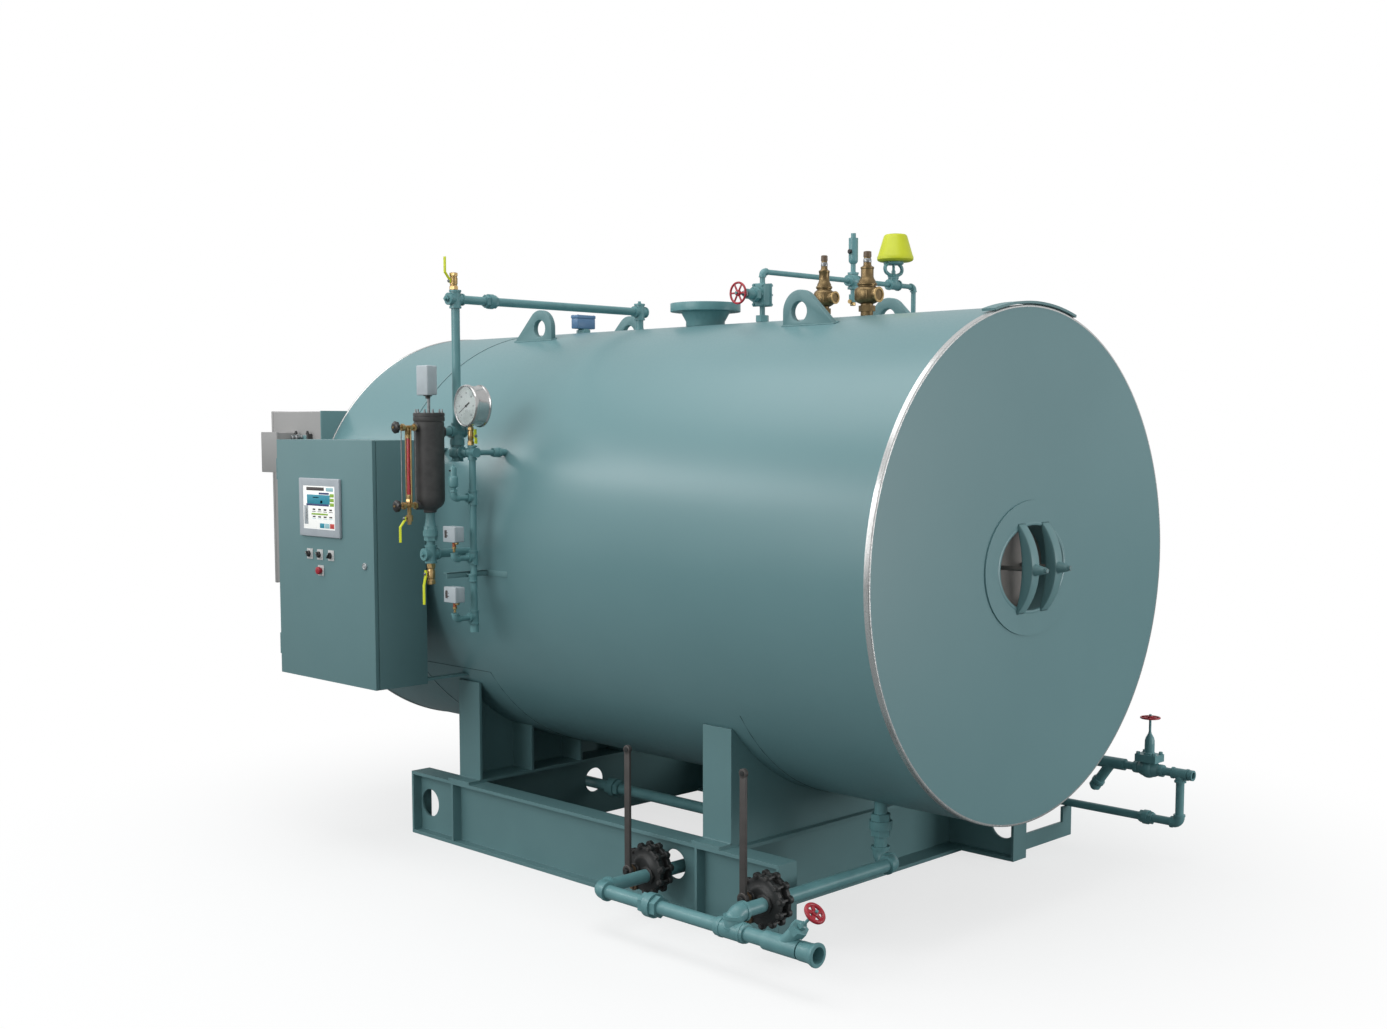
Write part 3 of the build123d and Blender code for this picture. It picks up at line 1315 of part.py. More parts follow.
# Blowdown manifold along the skid, with a slanted drain valve and an open end
slant = Vector(1, 0, 1).normalized()
rear_branch = (blow_rear_x, blow_y, blow_rear_z)
with BuildPart() as blowdown_manifold:
    open_end = (station(blow_open_station), blow_y, blow_z)
    pipe_run(
        (
            (blow_front_x, front_valve_y - valve_thickness / 2 - seat_gap, blow_z),
            (blow_front_x, blow_y, blow_z),
            open_end,
        ),
        inch_and_a_half,
    )
    union((station(blow_union_station), blow_y, blow_z), rearward, inch_and_a_half)
    fitting((blow_rear_x, blow_y, blow_z), (forward, rearward, up), inch_and_a_half)
    pipe_run(
        (
            (blow_rear_x, blow_y, blow_z),
            rear_branch,
            (blow_rear_x, rear_valve_y - valve_thickness / 2 - seat_gap, blow_rear_z),
        ),
        inch_and_a_half,
    )
    drain_body = Vector(station(drain_valve_station), blow_y, blow_z)
    collar(drain_body, rearward, inch_and_a_half * socket_ratio, 6 * inch_and_a_half)
    rod(drain_body, drain_body + slant * drain_bonnet_reach, inch_and_a_half)
    hexagon(drain_body + slant * drain_bonnet_reach, slant, 2.2 * inch_and_a_half, inch_and_a_half)
    drain_wheel_centre = drain_body + slant * drain_wheel_reach
    rod(drain_body, drain_wheel_centre + slant * wheel_hub_depth, wheel_stem_radius)
    collar(open_end, rearward, inch_and_a_half * 0.85, 6 * inch_and_a_half, Mode.SUBTRACT)
save(blowdown_manifold.part, "blowdown_manifold")
save(handwheel(drain_wheel_centre, slant, drain_wheel_radius, wheel_stem_radius), "drain_wheel")
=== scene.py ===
"""Looks of a packaged industrial boiler: enamelled sheet, cast valves, brass cocks and instruments.

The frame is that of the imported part: +X runs to the manway end, -Y is the operator's side. Places and sizes
are in millimetres and the shaping tools turn them into metres, but the studio is in metres.
"""

import json
from math import cos, pi, radians, sin, sqrt

import bpy
from mathutils import Matrix, Vector


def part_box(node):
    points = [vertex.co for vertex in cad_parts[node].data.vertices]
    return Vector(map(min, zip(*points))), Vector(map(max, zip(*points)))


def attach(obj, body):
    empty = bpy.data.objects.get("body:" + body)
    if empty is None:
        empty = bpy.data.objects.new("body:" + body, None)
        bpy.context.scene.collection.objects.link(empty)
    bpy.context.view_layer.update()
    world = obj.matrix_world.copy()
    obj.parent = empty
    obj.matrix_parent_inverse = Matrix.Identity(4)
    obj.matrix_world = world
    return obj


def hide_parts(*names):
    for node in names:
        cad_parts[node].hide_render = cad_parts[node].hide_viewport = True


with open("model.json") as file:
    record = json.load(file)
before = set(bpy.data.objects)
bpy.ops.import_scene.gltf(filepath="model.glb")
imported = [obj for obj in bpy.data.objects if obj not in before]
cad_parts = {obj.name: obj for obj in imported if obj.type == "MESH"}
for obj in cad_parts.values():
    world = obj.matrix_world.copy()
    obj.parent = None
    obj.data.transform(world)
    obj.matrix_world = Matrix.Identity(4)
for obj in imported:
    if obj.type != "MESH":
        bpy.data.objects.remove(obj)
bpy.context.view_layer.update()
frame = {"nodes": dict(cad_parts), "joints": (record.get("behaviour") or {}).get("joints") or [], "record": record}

mm = 0.001
up, down = Vector((0, 0, 1)), Vector((0, 0, -1))
near, far = Vector((0, -1, 0)), Vector((0, 1, 0))
rearward, forward = Vector((1, 0, 0)), Vector((-1, 0, 0))
slant = Vector((1, 0, 1)).normalized()


def box(node):
    """Low and high corner of a construction node's box, in millimetres."""
    low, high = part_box(node)
    return low / mm, high / mm


def middle(node):
    """Centre of a construction node's box."""
    low, high = box(node)
    return (low + high) / 2


# Places read from the construction
pivots = {joint["name"]: Vector(joint["pos_m"]) / mm for joint in frame["joints"]}
cover_low, cover_high = box("rear_end_cover")
front_x = box("front_end_cover")[0].x
rear_x = cover_high.x
shell_radius = (cover_high.y - cover_low.y) / 2
axis_z = (cover_high.z + cover_low.z) / 2
top_z = axis_z + shell_radius
column = middle("water_column")
riser_y = middle("vent_valve").y
manifold_x = pivots["gauge_lever_swing"].x - 10.7
door_low, door_high = box("cabinet_door")


def on_shell(x, y, lift=0.0, side=1):
    """Point on the jacket at a place along and across it; side -1 is its lower half."""
    reach = shell_radius + lift
    across = y * reach / shell_radius
    return Vector((x, across, axis_z + side * sqrt(reach**2 - across**2)))


def on_door(node):
    """Point of the door's face behind the middle of a node."""
    place = middle(node)
    return Vector((place.x, door_low.y, place.z))


# Materials

def linear(code):
    """Linear colour of an sRGB hex code."""
    channels = [int(code[start:start + 2], 16) / 255 for start in (1, 3, 5)]
    straight = [c / 12.92 if c <= 0.04045 else ((c + 0.055) / 1.055) ** 2.4 for c in channels]
    return (*straight, 1.0)


def add_node(tree, kind, settings=None, links=None):
    """Add a node, with its settings by property or socket and its links by socket."""
    node = tree.nodes.new(kind)
    for key, value in (settings or {}).items():
        if isinstance(key, str) and hasattr(node, key):
            setattr(node, key, value)
        else:
            node.inputs[key].default_value = value
    for key, source in (links or {}).items():
        tree.links.new(source, node.inputs[key])
    return node


def finish(name, tones, cloud, rough, grain, relief, metal=0.0, stretch=(1, 1, 1), edge=0.0, more=None):
    """One real material: two near tones in clouds, gloss that varies with the grain, and a fine relief.

    cloud and grain are sizes, relief is the depth of the grain, and edge is the radius of rounded edges.
    """
    material = bpy.data.materials.new(name)
    material.use_nodes = True
    tree = material.node_tree
    tree.nodes.clear()
    place = add_node(tree, "ShaderNodeTexCoord")
    mapped = add_node(tree, "ShaderNodeMapping", {"Scale": stretch}, {"Vector": place.outputs["Object"]})

    def noise(size, detail):
        """Noise of a size."""
        return add_node(tree, "ShaderNodeTexNoise", {"Scale": 1 / (size * mm), "Detail": detail},
                        {"Vector": mapped.outputs[0]}).outputs[0]

    def spread(pattern, low, high):
        """Middle part of a noise, spread between two values."""
        span = {"From Min": 0.3, "From Max": 0.7, "To Min": low, "To Max": high}
        return add_node(tree, "ShaderNodeMapRange", span, {"Value": pattern}).outputs[0]

    grains = noise(grain, 3.0)
    gloss = spread(grains, *rough)
    tone = add_node(tree, "ShaderNodeMix", {"data_type": "RGBA", 6: linear(tones[0]), 7: linear(tones[1])},
                    {0: spread(noise(cloud, 4.0), 0.0, 1.0)})
    bump = add_node(tree, "ShaderNodeBump", {"Strength": 1.0, "Distance": relief * mm}, {"Height": grains})
    if edge:
        rounding = add_node(tree, "ShaderNodeBevel", {"samples": 6, "Radius": edge * mm})
        tree.links.new(rounding.outputs[0], bump.inputs["Normal"])
    shader = add_node(tree, "ShaderNodeBsdfPrincipled", {"Metallic": metal, **(more or {})},
                      {"Base Color": tone.outputs[2], "Roughness": gloss, "Normal": bump.outputs[0]})
    add_node(tree, "ShaderNodeOutputMaterial", None, {"Surface": shader.outputs[0]})
    return material


# Satin alkyd enamel sprayed over sheet: broad soft highlights and a faint orange peel
sheet_enamel = finish("sheet_enamel", ("#6b9094", "#678c90"), 700, (0.30, 0.37), 9, 0.05)
# The same enamel on rolled plate: a little duller, its cut edges rounded by the coat
plate_enamel = finish("plate_enamel", ("#668b8e", "#618588"), 260, (0.40, 0.50), 7, 0.10, edge=2.5)
# The same enamel on the forged yokes, whose edges are broadly rounded and catch the light
forging_enamel = finish("forging_enamel", ("#6a9093", "#64898c"), 260, (0.36, 0.46), 7, 0.10, edge=9)
# Enamel brushed over pipe and screwed fittings: bluer and glossier than the sheet
pipe_enamel = finish("pipe_enamel", ("#6a999c", "#5f8d91"), 60, (0.30, 0.42), 5, 0.12)
# Polyester powder coat on folded steel: an even satin with a fine leather-like grain
powder_coat = finish("powder_coat", ("#688a8d", "#648689"), 400, (0.38, 0.46), 3, 0.06)
# Grey powder coat of the heater covers
grey_powder_coat = finish("grey_powder_coat", ("#a09f9e", "#999897"), 300, (0.42, 0.52), 3, 0.06)
# Pale blue-grey enamel on small die-cast boxes
pale_enamel = finish("pale_enamel", ("#b9c2c7", "#b1babf"), 40, (0.35, 0.45), 2, 0.05)
# Cold-rolled stainless strip, brushed along its length: bright, streaked across its width
brushed_stainless = finish("brushed_stainless", ("#d6d6d5", "#c3c3c2"), 160, (0.20, 0.30), 6, 0.03,
                           metal=0.75, stretch=(9, 0.4, 0.4))
# Dull zinc plate on nuts, studs and stems: grey, faintly mottled metal
zinc_plate = finish("zinc_plate", ("#96999a", "#7e8183"), 12, (0.32, 0.46), 3, 0.04, metal=1.0)
# Polished stainless of the gauge case: mirror-like with soft streaks
polished_stainless = finish("polished_stainless", ("#cfcecd", "#bdbcbb"), 60, (0.14, 0.22), 8, 0.01,
                            metal=0.8)
# Sand-cast gunmetal left bare: olive brown with a pebbled skin
gunmetal = finish("gunmetal", ("#86714e", "#69573b"), 18, (0.30, 0.44), 2.5, 0.16, metal=0.75)
# Machined brass, dulled by handling: sandy yellow metal with a soft lathe sheen
turned_brass = finish("turned_brass", ("#c3a676", "#a98c5c"), 14, (0.26, 0.38), 2, 0.04, metal=0.85)
# Copper of the siphon nipples, warm orange
bare_copper = finish("bare_copper", ("#c2714f", "#aa6044"), 12, (0.3, 0.42), 2, 0.04, metal=0.7)
# Black bitumen enamel over sand-cast iron: deep black with a rough skin
black_cast_iron = finish("black_cast_iron", ("#2b2c2c", "#1f2020"), 30, (0.42, 0.58), 3, 0.35)
# Bare phosphated casting: grey, matt, pebbled
dark_cast_iron = finish("dark_cast_iron", ("#494847", "#3c3b3b"), 35, (0.42, 0.55), 3, 0.3, metal=0.1)
# Flat steel bar under brown oxide paint
brown_oxide_paint = finish("brown_oxide_paint", ("#4d4846", "#423e3c"), 50, (0.45, 0.58), 4, 0.1, edge=1.5)
# Brown lacquer on the caps of the safety valves and the glands: warm and half matt
brown_lacquer = finish("brown_lacquer", ("#6d5844", "#5f4c3a"), 12, (0.4, 0.5), 2, 0.06)
# Red wheel enamel, thick and glossy
red_enamel = finish("red_enamel", ("#b52b39", "#a12331"), 20, (0.25, 0.35), 4, 0.06)
# Dipped vinyl sleeve: saturated yellow-green, waxy
yellow_vinyl = finish("yellow_vinyl", ("#d6df2c", "#cdd626"), 25, (0.35, 0.45), 3, 0.05)
# Moulded glass-filled nylon cover, fine spark texture
yellow_nylon = finish("yellow_nylon", ("#cfd62a", "#c7ce24"), 90, (0.38, 0.48), 1.5, 0.06)
# Phenolic moulding: near black, slightly glossy
black_phenolic = finish("black_phenolic", ("#2b2a2a", "#201f1f"), 20, (0.3, 0.4), 2, 0.03)
# Enamel of the probe's box: dusty blue, half glossy
blue_enamel = finish("blue_enamel", ("#5c81a6", "#557a9f"), 40, (0.35, 0.45), 3, 0.06)
# Silicone rubber gasket, dull and dark
gasket_rubber = finish("gasket_rubber", ("#262829", "#1c1e1f"), 15, (0.7, 0.85), 2, 0.08)
# Painted shade: a dark bead along the jacket's lap and dark lines along its cuts round the saddles, standing in
# for the shade in those seams
painted_seam_shade = finish("painted_seam_shade", ("#435a5c", "#3a4e50"), 15, (0.6, 0.75), 2, 0.08)
# Primed steel of the plate inside the manway: warm grey, dull
primed_steel = finish("primed_steel", ("#847e7a", "#736e6a"), 80, (0.5, 0.62), 4, 0.12)
# Stoved enamel on the switch plates, an off-white
white_enamel = finish("white_enamel", ("#c8c9c8", "#bfc1c0"), 30, (0.35, 0.45), 1.5, 0.02)
# Matt white paint of the gauge's dial
dial_enamel = finish("dial_enamel", ("#e6e6e4", "#dededc"), 30, (0.45, 0.55), 1.5, 0.01)
# Galvanised back plate: pale spangled zinc
galvanised_sheet = finish("galvanised_sheet", ("#c6cacb", "#aeb3b5"), 25, (0.4, 0.55), 6, 0.03, metal=0.8)
# Satin silver moulding round the operator's screen
bezel_plastic = finish("bezel_plastic", ("#b3bac0", "#abb2b8"), 60, (0.3, 0.4), 1.5, 0.03)
# Red float line in the gauge glass
red_line = finish("red_line", ("#c8202c", "#b81a26"), 15, (0.2, 0.3), 2, 0.01)
# Borosilicate tube and gauge window: clear, water-white
clear_glass = finish("clear_glass", ("#f4fafa", "#eef6f6"), 80, (0.02, 0.04), 20, 0.0,
                     more={"Transmission Weight": 1.0, "IOR": 1.47})
# Lit ground of the screen: white, faintly glowing
screen_ground = finish("screen_ground", ("#f6f6f3", "#efefec"), 60, (0.3, 0.4), 2, 0.0,
                       more={"Emission Color": linear("#f4f4f0"), "Emission Strength": 0.3})
# Printing inks of the dial, flat and matt
black_ink = finish("black_ink", ("#161616", "#101010"), 8, (0.5, 0.6), 1, 0.01)
grey_ink = finish("grey_ink", ("#77787a", "#6e6f71"), 8, (0.5, 0.6), 1, 0.01)
# Colours of the screen and of the small windows, flat and half glossy
dark_ink = finish("dark_ink", ("#57504f", "#4e4847"), 8, (0.3, 0.4), 1, 0.01)
navy_ink = finish("navy_ink", ("#46507f", "#3d4674"), 20, (0.3, 0.4), 1, 0.01)
teal_ink = finish("teal_ink", ("#3f9db3", "#2f8fa6"), 30, (0.3, 0.4), 1, 0.01)
pale_ink = finish("pale_ink", ("#a9d3da", "#9bc9d1"), 12, (0.3, 0.4), 1, 0.01)
green_ink = finish("green_ink", ("#9fc552", "#93bb46"), 12, (0.3, 0.4), 1, 0.01)
red_ink = finish("red_ink", ("#d2504b", "#c54540"), 12, (0.3, 0.4), 1, 0.01)

# Materials of each slot of the record; the first one coats the construction's nodes of that slot
slot_materials = {
    "teal_enamel": (plate_enamel, sheet_enamel, forging_enamel, painted_seam_shade),
    "pipe_enamel": (pipe_enamel,),
    "cabinet_enamel": (powder_coat,),
    "grey_enamel": (grey_powder_coat,),
    "pale_steel": (pale_enamel, white_enamel),
    "bright_band": (polished_stainless, brushed_stainless, zinc_plate),
    "bronze": (gunmetal, brown_lacquer),
    "brass": (turned_brass, bare_copper),
    "black_enamel": (black_cast_iron,),
    "dark_casting": (dark_cast_iron,),
    "lever_steel": (brown_oxide_paint,),
    "red_enamel": (red_enamel,),
    "yellow_sleeve": (yellow_vinyl,),
    "yellow_cap": (yellow_nylon,),
    "black_plastic": (black_phenolic, gasket_rubber, dark_ink),
    "blue_box": (blue_enamel,),
    "glass": (clear_glass,),
    "screen": (bezel_plastic,),
    "stop_red": (red_line,),
    "zinc_plate": (galvanised_sheet,),
    "inner_steel": (primed_steel,),
}
usual_slot = {material.name: slot for slot, materials in slot_materials.items() for material in materials}
# Nodes with another coat than the first of their slot
other_coats = {
    "shell_jacket": sheet_enamel,
    "front_end_cover": sheet_enamel,
    "rear_end_cover": sheet_enamel,
    "manway_neck": sheet_enamel,
    "trim_rings": brushed_stainless,
    "pressure_transmitter": pipe_enamel,
    "switch_nipples": bare_copper,
    "stop_button": red_enamel,
    "junction_box": grey_powder_coat,
}
for subpart in frame["record"]["subparts"]:
    node = frame["nodes"][subpart["node"]]
    coat = other_coats.get(subpart["node"], slot_materials[subpart["material_slot"]][0])
    if not node.material_slots:
        node.data.materials.append(coat)
    for slot in node.material_slots:
        slot.material = coat


# Shaping tools

def deselect():
    """Clear the selection."""
    bpy.ops.object.select_all(action="DESELECT")


def choose(piece):
    """Make a piece the only one selected."""
    deselect()
    piece.select_set(True)
    bpy.context.view_layer.objects.active = piece


def placed(piece, centre, direction=up, turn=0.0):
    """Stand a piece that was made about Z at its centre, facing a direction."""
    facing = Vector(direction).to_track_quat("Z", "Y").to_matrix().to_4x4()
    piece.data.transform(Matrix.Translation(Vector(centre) * mm) @ facing @ Matrix.Rotation(turn, 4, "Z"))
    return piece


def mirrored(half):
    """Profile with its upper half repeated below height 0."""
    return [(radius, -height) for radius, height in reversed(half) if height] + half


def widened(profile, share):
    """Profile with its radii multiplied."""
    return [(radius * share, height) for radius, height in profile]


def turned(profile, sides=32, centre=None, direction=up, hollow=False):
    """Solid turned about its axis through (radius, height) rings; hollow closes it on its first ring."""
    deselect()
    rings = [(radius * mm, height * mm) for radius, height in profile]
    fill = "NOTHING" if hollow else "NGON"
    bpy.ops.mesh.primitive_circle_add(vertices=sides, radius=rings[0][0], fill_type=fill)
    piece = bpy.context.object
    bpy.ops.object.mode_set(mode="EDIT")
    bpy.ops.transform.translate(value=(0, 0, rings[0][1]))
    steps = rings + rings[:1] if hollow else rings
    for (last_radius, last_height), (radius, height) in zip(steps, steps[1:]):
        bpy.ops.mesh.extrude_region_move(TRANSFORM_OT_translate={"value": (0, 0, height - last_height)})
        scale = radius / last_radius
        bpy.ops.transform.resize(value=(scale, scale, 1), center_override=(0, 0, 0))
    bpy.ops.mesh.select_all(action="SELECT")
    bpy.ops.mesh.remove_doubles(threshold=0.01 * mm)
    bpy.ops.mesh.normals_make_consistent(inside=False)
    bpy.ops.object.mode_set(mode="OBJECT")
    return piece if centre is None else placed(piece, centre, direction)


def block(centre, size, edge=0.0, steps=2):
    """Rectangular block with rounded edges."""
    deselect()
    scale = [side * mm for side in size]
    bpy.ops.mesh.primitive_cube_add(size=1, location=Vector(centre) * mm, scale=scale)
    bpy.ops.object.transform_apply()
    piece = bpy.context.object
    if edge:
        bpy.ops.object.mode_set(mode="EDIT")
        bpy.ops.mesh.select_all(action="SELECT")
        bpy.ops.mesh.bevel(offset=edge * mm, segments=steps, affect="EDGES")
        bpy.ops.object.mode_set(mode="OBJECT")
    return piece


def recess(piece, facing, rim, depth):
    """Sink the face that looks a given way, inside a rim."""
    choose(piece)
    bpy.ops.object.mode_set(mode="EDIT")
    bpy.ops.mesh.select_mode(type="FACE")
    bpy.ops.mesh.select_all(action="DESELECT")
    bpy.ops.object.mode_set(mode="OBJECT")
    for face in piece.data.polygons:
        face.select = face.normal.dot(facing) > 0.99
    bpy.ops.object.mode_set(mode="EDIT")
    bpy.ops.mesh.inset(thickness=rim * mm)
    bpy.ops.mesh.inset(thickness=depth * mm / 2, depth=-depth * mm)
    bpy.ops.mesh.select_mode(type="VERT")
    bpy.ops.object.mode_set(mode="OBJECT")
    return piece


def wire(points, radius, curved=False):
    """Round bar along points; curved lets it bend smoothly between them."""
    route = bpy.data.curves.new("wire", "CURVE")
    route.dimensions = "3D"
    spline = route.splines.new("NURBS" if curved else "POLY")
    spline.points.add(len(points) - 1)
    for point, place in zip(spline.points, points):
        point.co = (*(Vector(place) * mm), 1)
    if curved:
        spline.order_u = 3
        spline.use_endpoint_u = True
    route.bevel_depth = radius * mm
    route.bevel_resolution = 2
    route.use_fill_caps = True
    piece = bpy.data.objects.new("wire", route)
    bpy.context.scene.collection.objects.link(piece)
    choose(piece)
    bpy.ops.object.convert(target="MESH")
    return bpy.context.object


def painted(piece, material):
    """Give a piece one material."""
    piece.data.materials.clear()
    piece.data.materials.append(material)
    return piece


def joined(pieces):
    """One piece out of several."""
    choose(pieces[0])
    for piece in pieces:
        piece.select_set(True)
    bpy.ops.object.join()
    return pieces[0]


def copies(pattern, places):
    """The pattern repeated at (centre, direction) places, each with its own mesh, as one piece."""
    made = []
    for centre, direction in places:
        twin = pattern.copy()
        twin.data = pattern.data.copy()
        bpy.context.scene.collection.objects.link(twin)
        made.append(placed(twin, centre, direction))
    bpy.data.objects.remove(pattern)
    return joined(made)


def around(centre, direction, radius, count, start=0.0):
    """Places evenly spaced on a circle about a direction."""
    facing = Vector(direction).to_track_quat("Z", "Y")
    angles = [start + 2 * pi * index / count for index in range(count)]
    spokes = [facing @ Vector((cos(angle), sin(angle), 0)) for angle in angles]
    return [(Vector(centre) + spoke * radius, direction) for spoke in spokes]


def hex_bolt(across, height):
    """Hexagon head on a washer."""
    radius = across / sqrt(3)
    head = turned([(radius, 0), (radius, height * 0.8), (radius * 0.86, height)], 6)
    return joined([head, turned([(radius * 1.2, -0.5), (radius * 1.2, height * 0.16)], 12)])


def dress(name, material, parts, *nodes, body="boiler", slot=None, angle=35):
    """Join, coat, name, smooth and attach a piece, standing for the nodes it replaces.

    Without a material the parts keep the ones they have. The slot argument is not used.
    """
    piece = joined(parts) if isinstance(parts, list) else parts
    if material:
        painted(piece, material)
        slot = slot or usual_slot[material.name]
    piece.name = name
    piece.data.name = name
    choose(piece)
    bpy.ops.object.shade_smooth_by_angle(angle=radians(angle))
    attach(piece, body)
    if nodes:
        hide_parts(*nodes)


def softened(node, radius, material, body="boiler"):
    """Copy of a construction node with its sharp edges rounded."""
    source = frame["nodes"][node]
    mesh = source.data.copy()
    mesh.transform(source.matrix_world)
    piece = bpy.data.objects.new(f"{node}_soft", mesh)
    bpy.context.scene.collection.objects.link(piece)
    choose(piece)
    bpy.ops.object.mode_set(mode="EDIT")
    bpy.ops.mesh.select_all(action="SELECT")
    bpy.ops.mesh.customdata_custom_splitnormals_clear()
    bpy.ops.mesh.remove_doubles(threshold=0.01 * mm)
    bpy.ops.mesh.dissolve_limited(angle_limit=radians(0.5))
    bpy.ops.mesh.normals_make_consistent(inside=False)
    bpy.ops.object.mode_set(mode="OBJECT")
    rounding = piece.modifiers.new("rounding", "BEVEL")
    rounding.width = radius * mm
    rounding.segments = 3
    rounding.limit_method = "ANGLE"
    rounding.angle_limit = radians(40)
    bpy.ops.object.modifier_apply(modifier=rounding.name)
    dress(f"{node}_soft", material, piece, node, body=body)


# Shell and skid

def shell_rings():
    """Brushed strip rolled round both ends of the shell, its edges turned in."""
    outer = box("trim_rings")[1].y - 3
    rings = []
    for start, width in ((rear_x - 23, 23.2), (front_x - 0.2, 9)):
        profile = [(outer - 8, 0), (outer - 3, 0), (outer, 2.5), (outer, width - 2.5), (outer - 3, width),
                   (outer - 8, width)]
        rings.append(turned(profile, 192, (start, 0, axis_z), rearward, hollow=True))
    dress("shell_rings", brushed_stainless, rings, "trim_rings")


def jacket_laps():
    """Lapped seam round the jacket, with a dark bead of painted shade at its edge, and dark lines of painted shade
    where it is cut round the saddles.
    """
    seam = (-1815, 0, axis_z)
    skin = shell_radius
    lap = turned([(skin - 4, -16), (skin + 0.3, -16), (skin + 1.4, -14), (skin + 1.4, 0), (skin - 4, 0)],
                 192, seam, rearward, hollow=True)
    # The dark bead at the lap's edge is painted shade of the lap's step
    bead = turned([(skin - 3, 0), (skin + 0.9, 0), (skin + 0.9, 2.4), (skin - 3, 2.4)],
                  192, seam, rearward, hollow=True)
    dress("jacket_lap", None, [painted(lap, sheet_enamel), painted(bead, painted_seam_shade)], slot="teal_enamel")
    lift = 0.4
    lines = []
    for cut_y in (-745, 745):
        for corner_x, run in ((100, 0), (-1312, 440)):
            if run:
                lines.append([on_shell(x, cut_y, lift, -1) for x in (corner_x - run, corner_x)])
            shares = [step / 12 for step in range(13)]
            lines.append([on_shell(corner_x - 35 * share, cut_y * (1 - share), lift, -1) for share in shares])
    # Dark wires of painted shade along the cuts round the saddles
    dress("jacket_cut_lines", painted_seam_shade, [wire(line, 1.3) for line in lines])


def lug_welds():
    """Weld beads along the feet of the four lifting lugs."""
    low, high = box("lifting_lugs")
    half = 12.5
    foot = 256
    beads = []
    for lug_y in (low.y + half, high.y - half):
        for ends in ((low.x, low.x + foot), (high.x - foot, high.x)):
            for face_y in (lug_y - half, lug_y + half):
                beads.append(wire([on_shell(end, face_y, 1) for end in ends], 3.5))
            for end in ends:
                beads.append(wire([on_shell(end, lug_y + half * share, 1) for share in (-1, 0, 1)], 3.5))
    dress("lug_welds", plate_enamel, beads)


def skid_welds():
    """Fillet welds where the saddle plates and stiffeners meet the beams."""
    beads = []
    for saddle_x in (-50, -1512):
        edges = (saddle_x - 71, saddle_x + 71)
        for side in (-1, 1):
            beads.append(wire([(edge_x, side * 706, 286) for edge_x in edges], 4))
            for edge_x in edges:
                beads.append(wire([(edge_x, side * reach, 274) for reach in (672.5, 767)], 3))
    dress("skid_welds", plate_enamel, beads)


def manway_fittings():
    """Lip of the opening, stud ends past the cone nuts, and the grip of the inner plate."""
    neck_face_x = rear_x - 88
    half_width, half_height = 203.2, 152.4
    lip = turned([(103, -14), (98, -14), (97.4, 2), (98.6, 5.4), (101.4, 7), (104.4, 6.4), (106, 4.6)],
                 96, hollow=True)
    lip.data.transform(Matrix.Diagonal((half_width / 100, half_height / 100, 1, 1)))
    dress("manway_lip", sheet_enamel, placed(lip, (rear_x, 0, axis_z), rearward))
    threads = [(8.2 + 0.6 * (turn % 2), 94 + 1.5 * turn) for turn in range(12)] + [(7, 112.2)]
    studs = [turned(threads, 16, (rear_x, stud_y, axis_z), rearward) for stud_y in (-74, 74)]
    dress("manway_stud_ends", plate_enamel, studs)
    bars = [block((neck_face_x + 14, -150, axis_z + height), (26, 74, 15), 5, 3) for height in (-15, 15)]
    bars.append(block((neck_face_x + 8, -150, axis_z), (14, 40, 24), 4, 3))
    dress("manway_plate_grip", plate_enamel, bars)


# Top of the shell

def safety_valve_pair():
    """Bronze safety valves: hexagon foot, ribbed body, bonnet, sealed cap and side outlet."""
    core = [(24, 2), (24, 46), (34, 50), (44, 56), (47, 61), (47, 98), (44.5, 103), (36, 109), (33, 111),
            (33, 114), (37, 116), (38, 120), (37, 124), (33, 126), (32, 132), (27, 140), (24, 148), (24, 176),
            (25.5, 178), (25.5, 184), (19, 187), (15.5, 191), (13, 224)]
    outlet = [(27, 0), (27, 44), (29, 46), (29, 55)]
    ring = [(29.3, 54), (29.3, 58), (21, 58), (21, 46), (19, 46), (19, 54)]
    cap = [(15, 221), (15.5, 225), (15, 241), (11, 243)]
    seal = [(15.2, 201), (15.8, 203), (15, 214), (14, 216)]
    bodies, rings, caps, seals = [], [], [], []
    for station, size in ((957, 0.84), (745, 1.0)):
        foot = Vector((rear_x - station, 0, top_z))
        waist = foot + up * 79
        rib = block((0, 0, 0), (7 * size, 7 * size, 34), 1.5)
        bodies.append(turned(widened(core, size), 40, foot))
        bodies.append(copies(rib, around(waist, up, 44.5 * size, 10, pi / 10)))
        bodies.append(turned(widened([(32, 18), (32, 40)], size), 6, foot))
        bodies.append(turned(widened(outlet, size), 32, waist, rearward))
        rings.append(turned(widened(ring, size), 32, waist, rearward, hollow=True))
        caps.append(turned(widened(cap, size), 24, foot))
        seals.append(turned(widened(seal, size), 24, foot))
    dress("safety_valve_bodies", gunmetal, bodies, "safety_valves")
    dress("safety_valve_outlets", turned_brass, rings)
    dress("safety_valve_caps", brown_lacquer, caps)
    dress("safety_valve_seals", zinc_plate, seals)


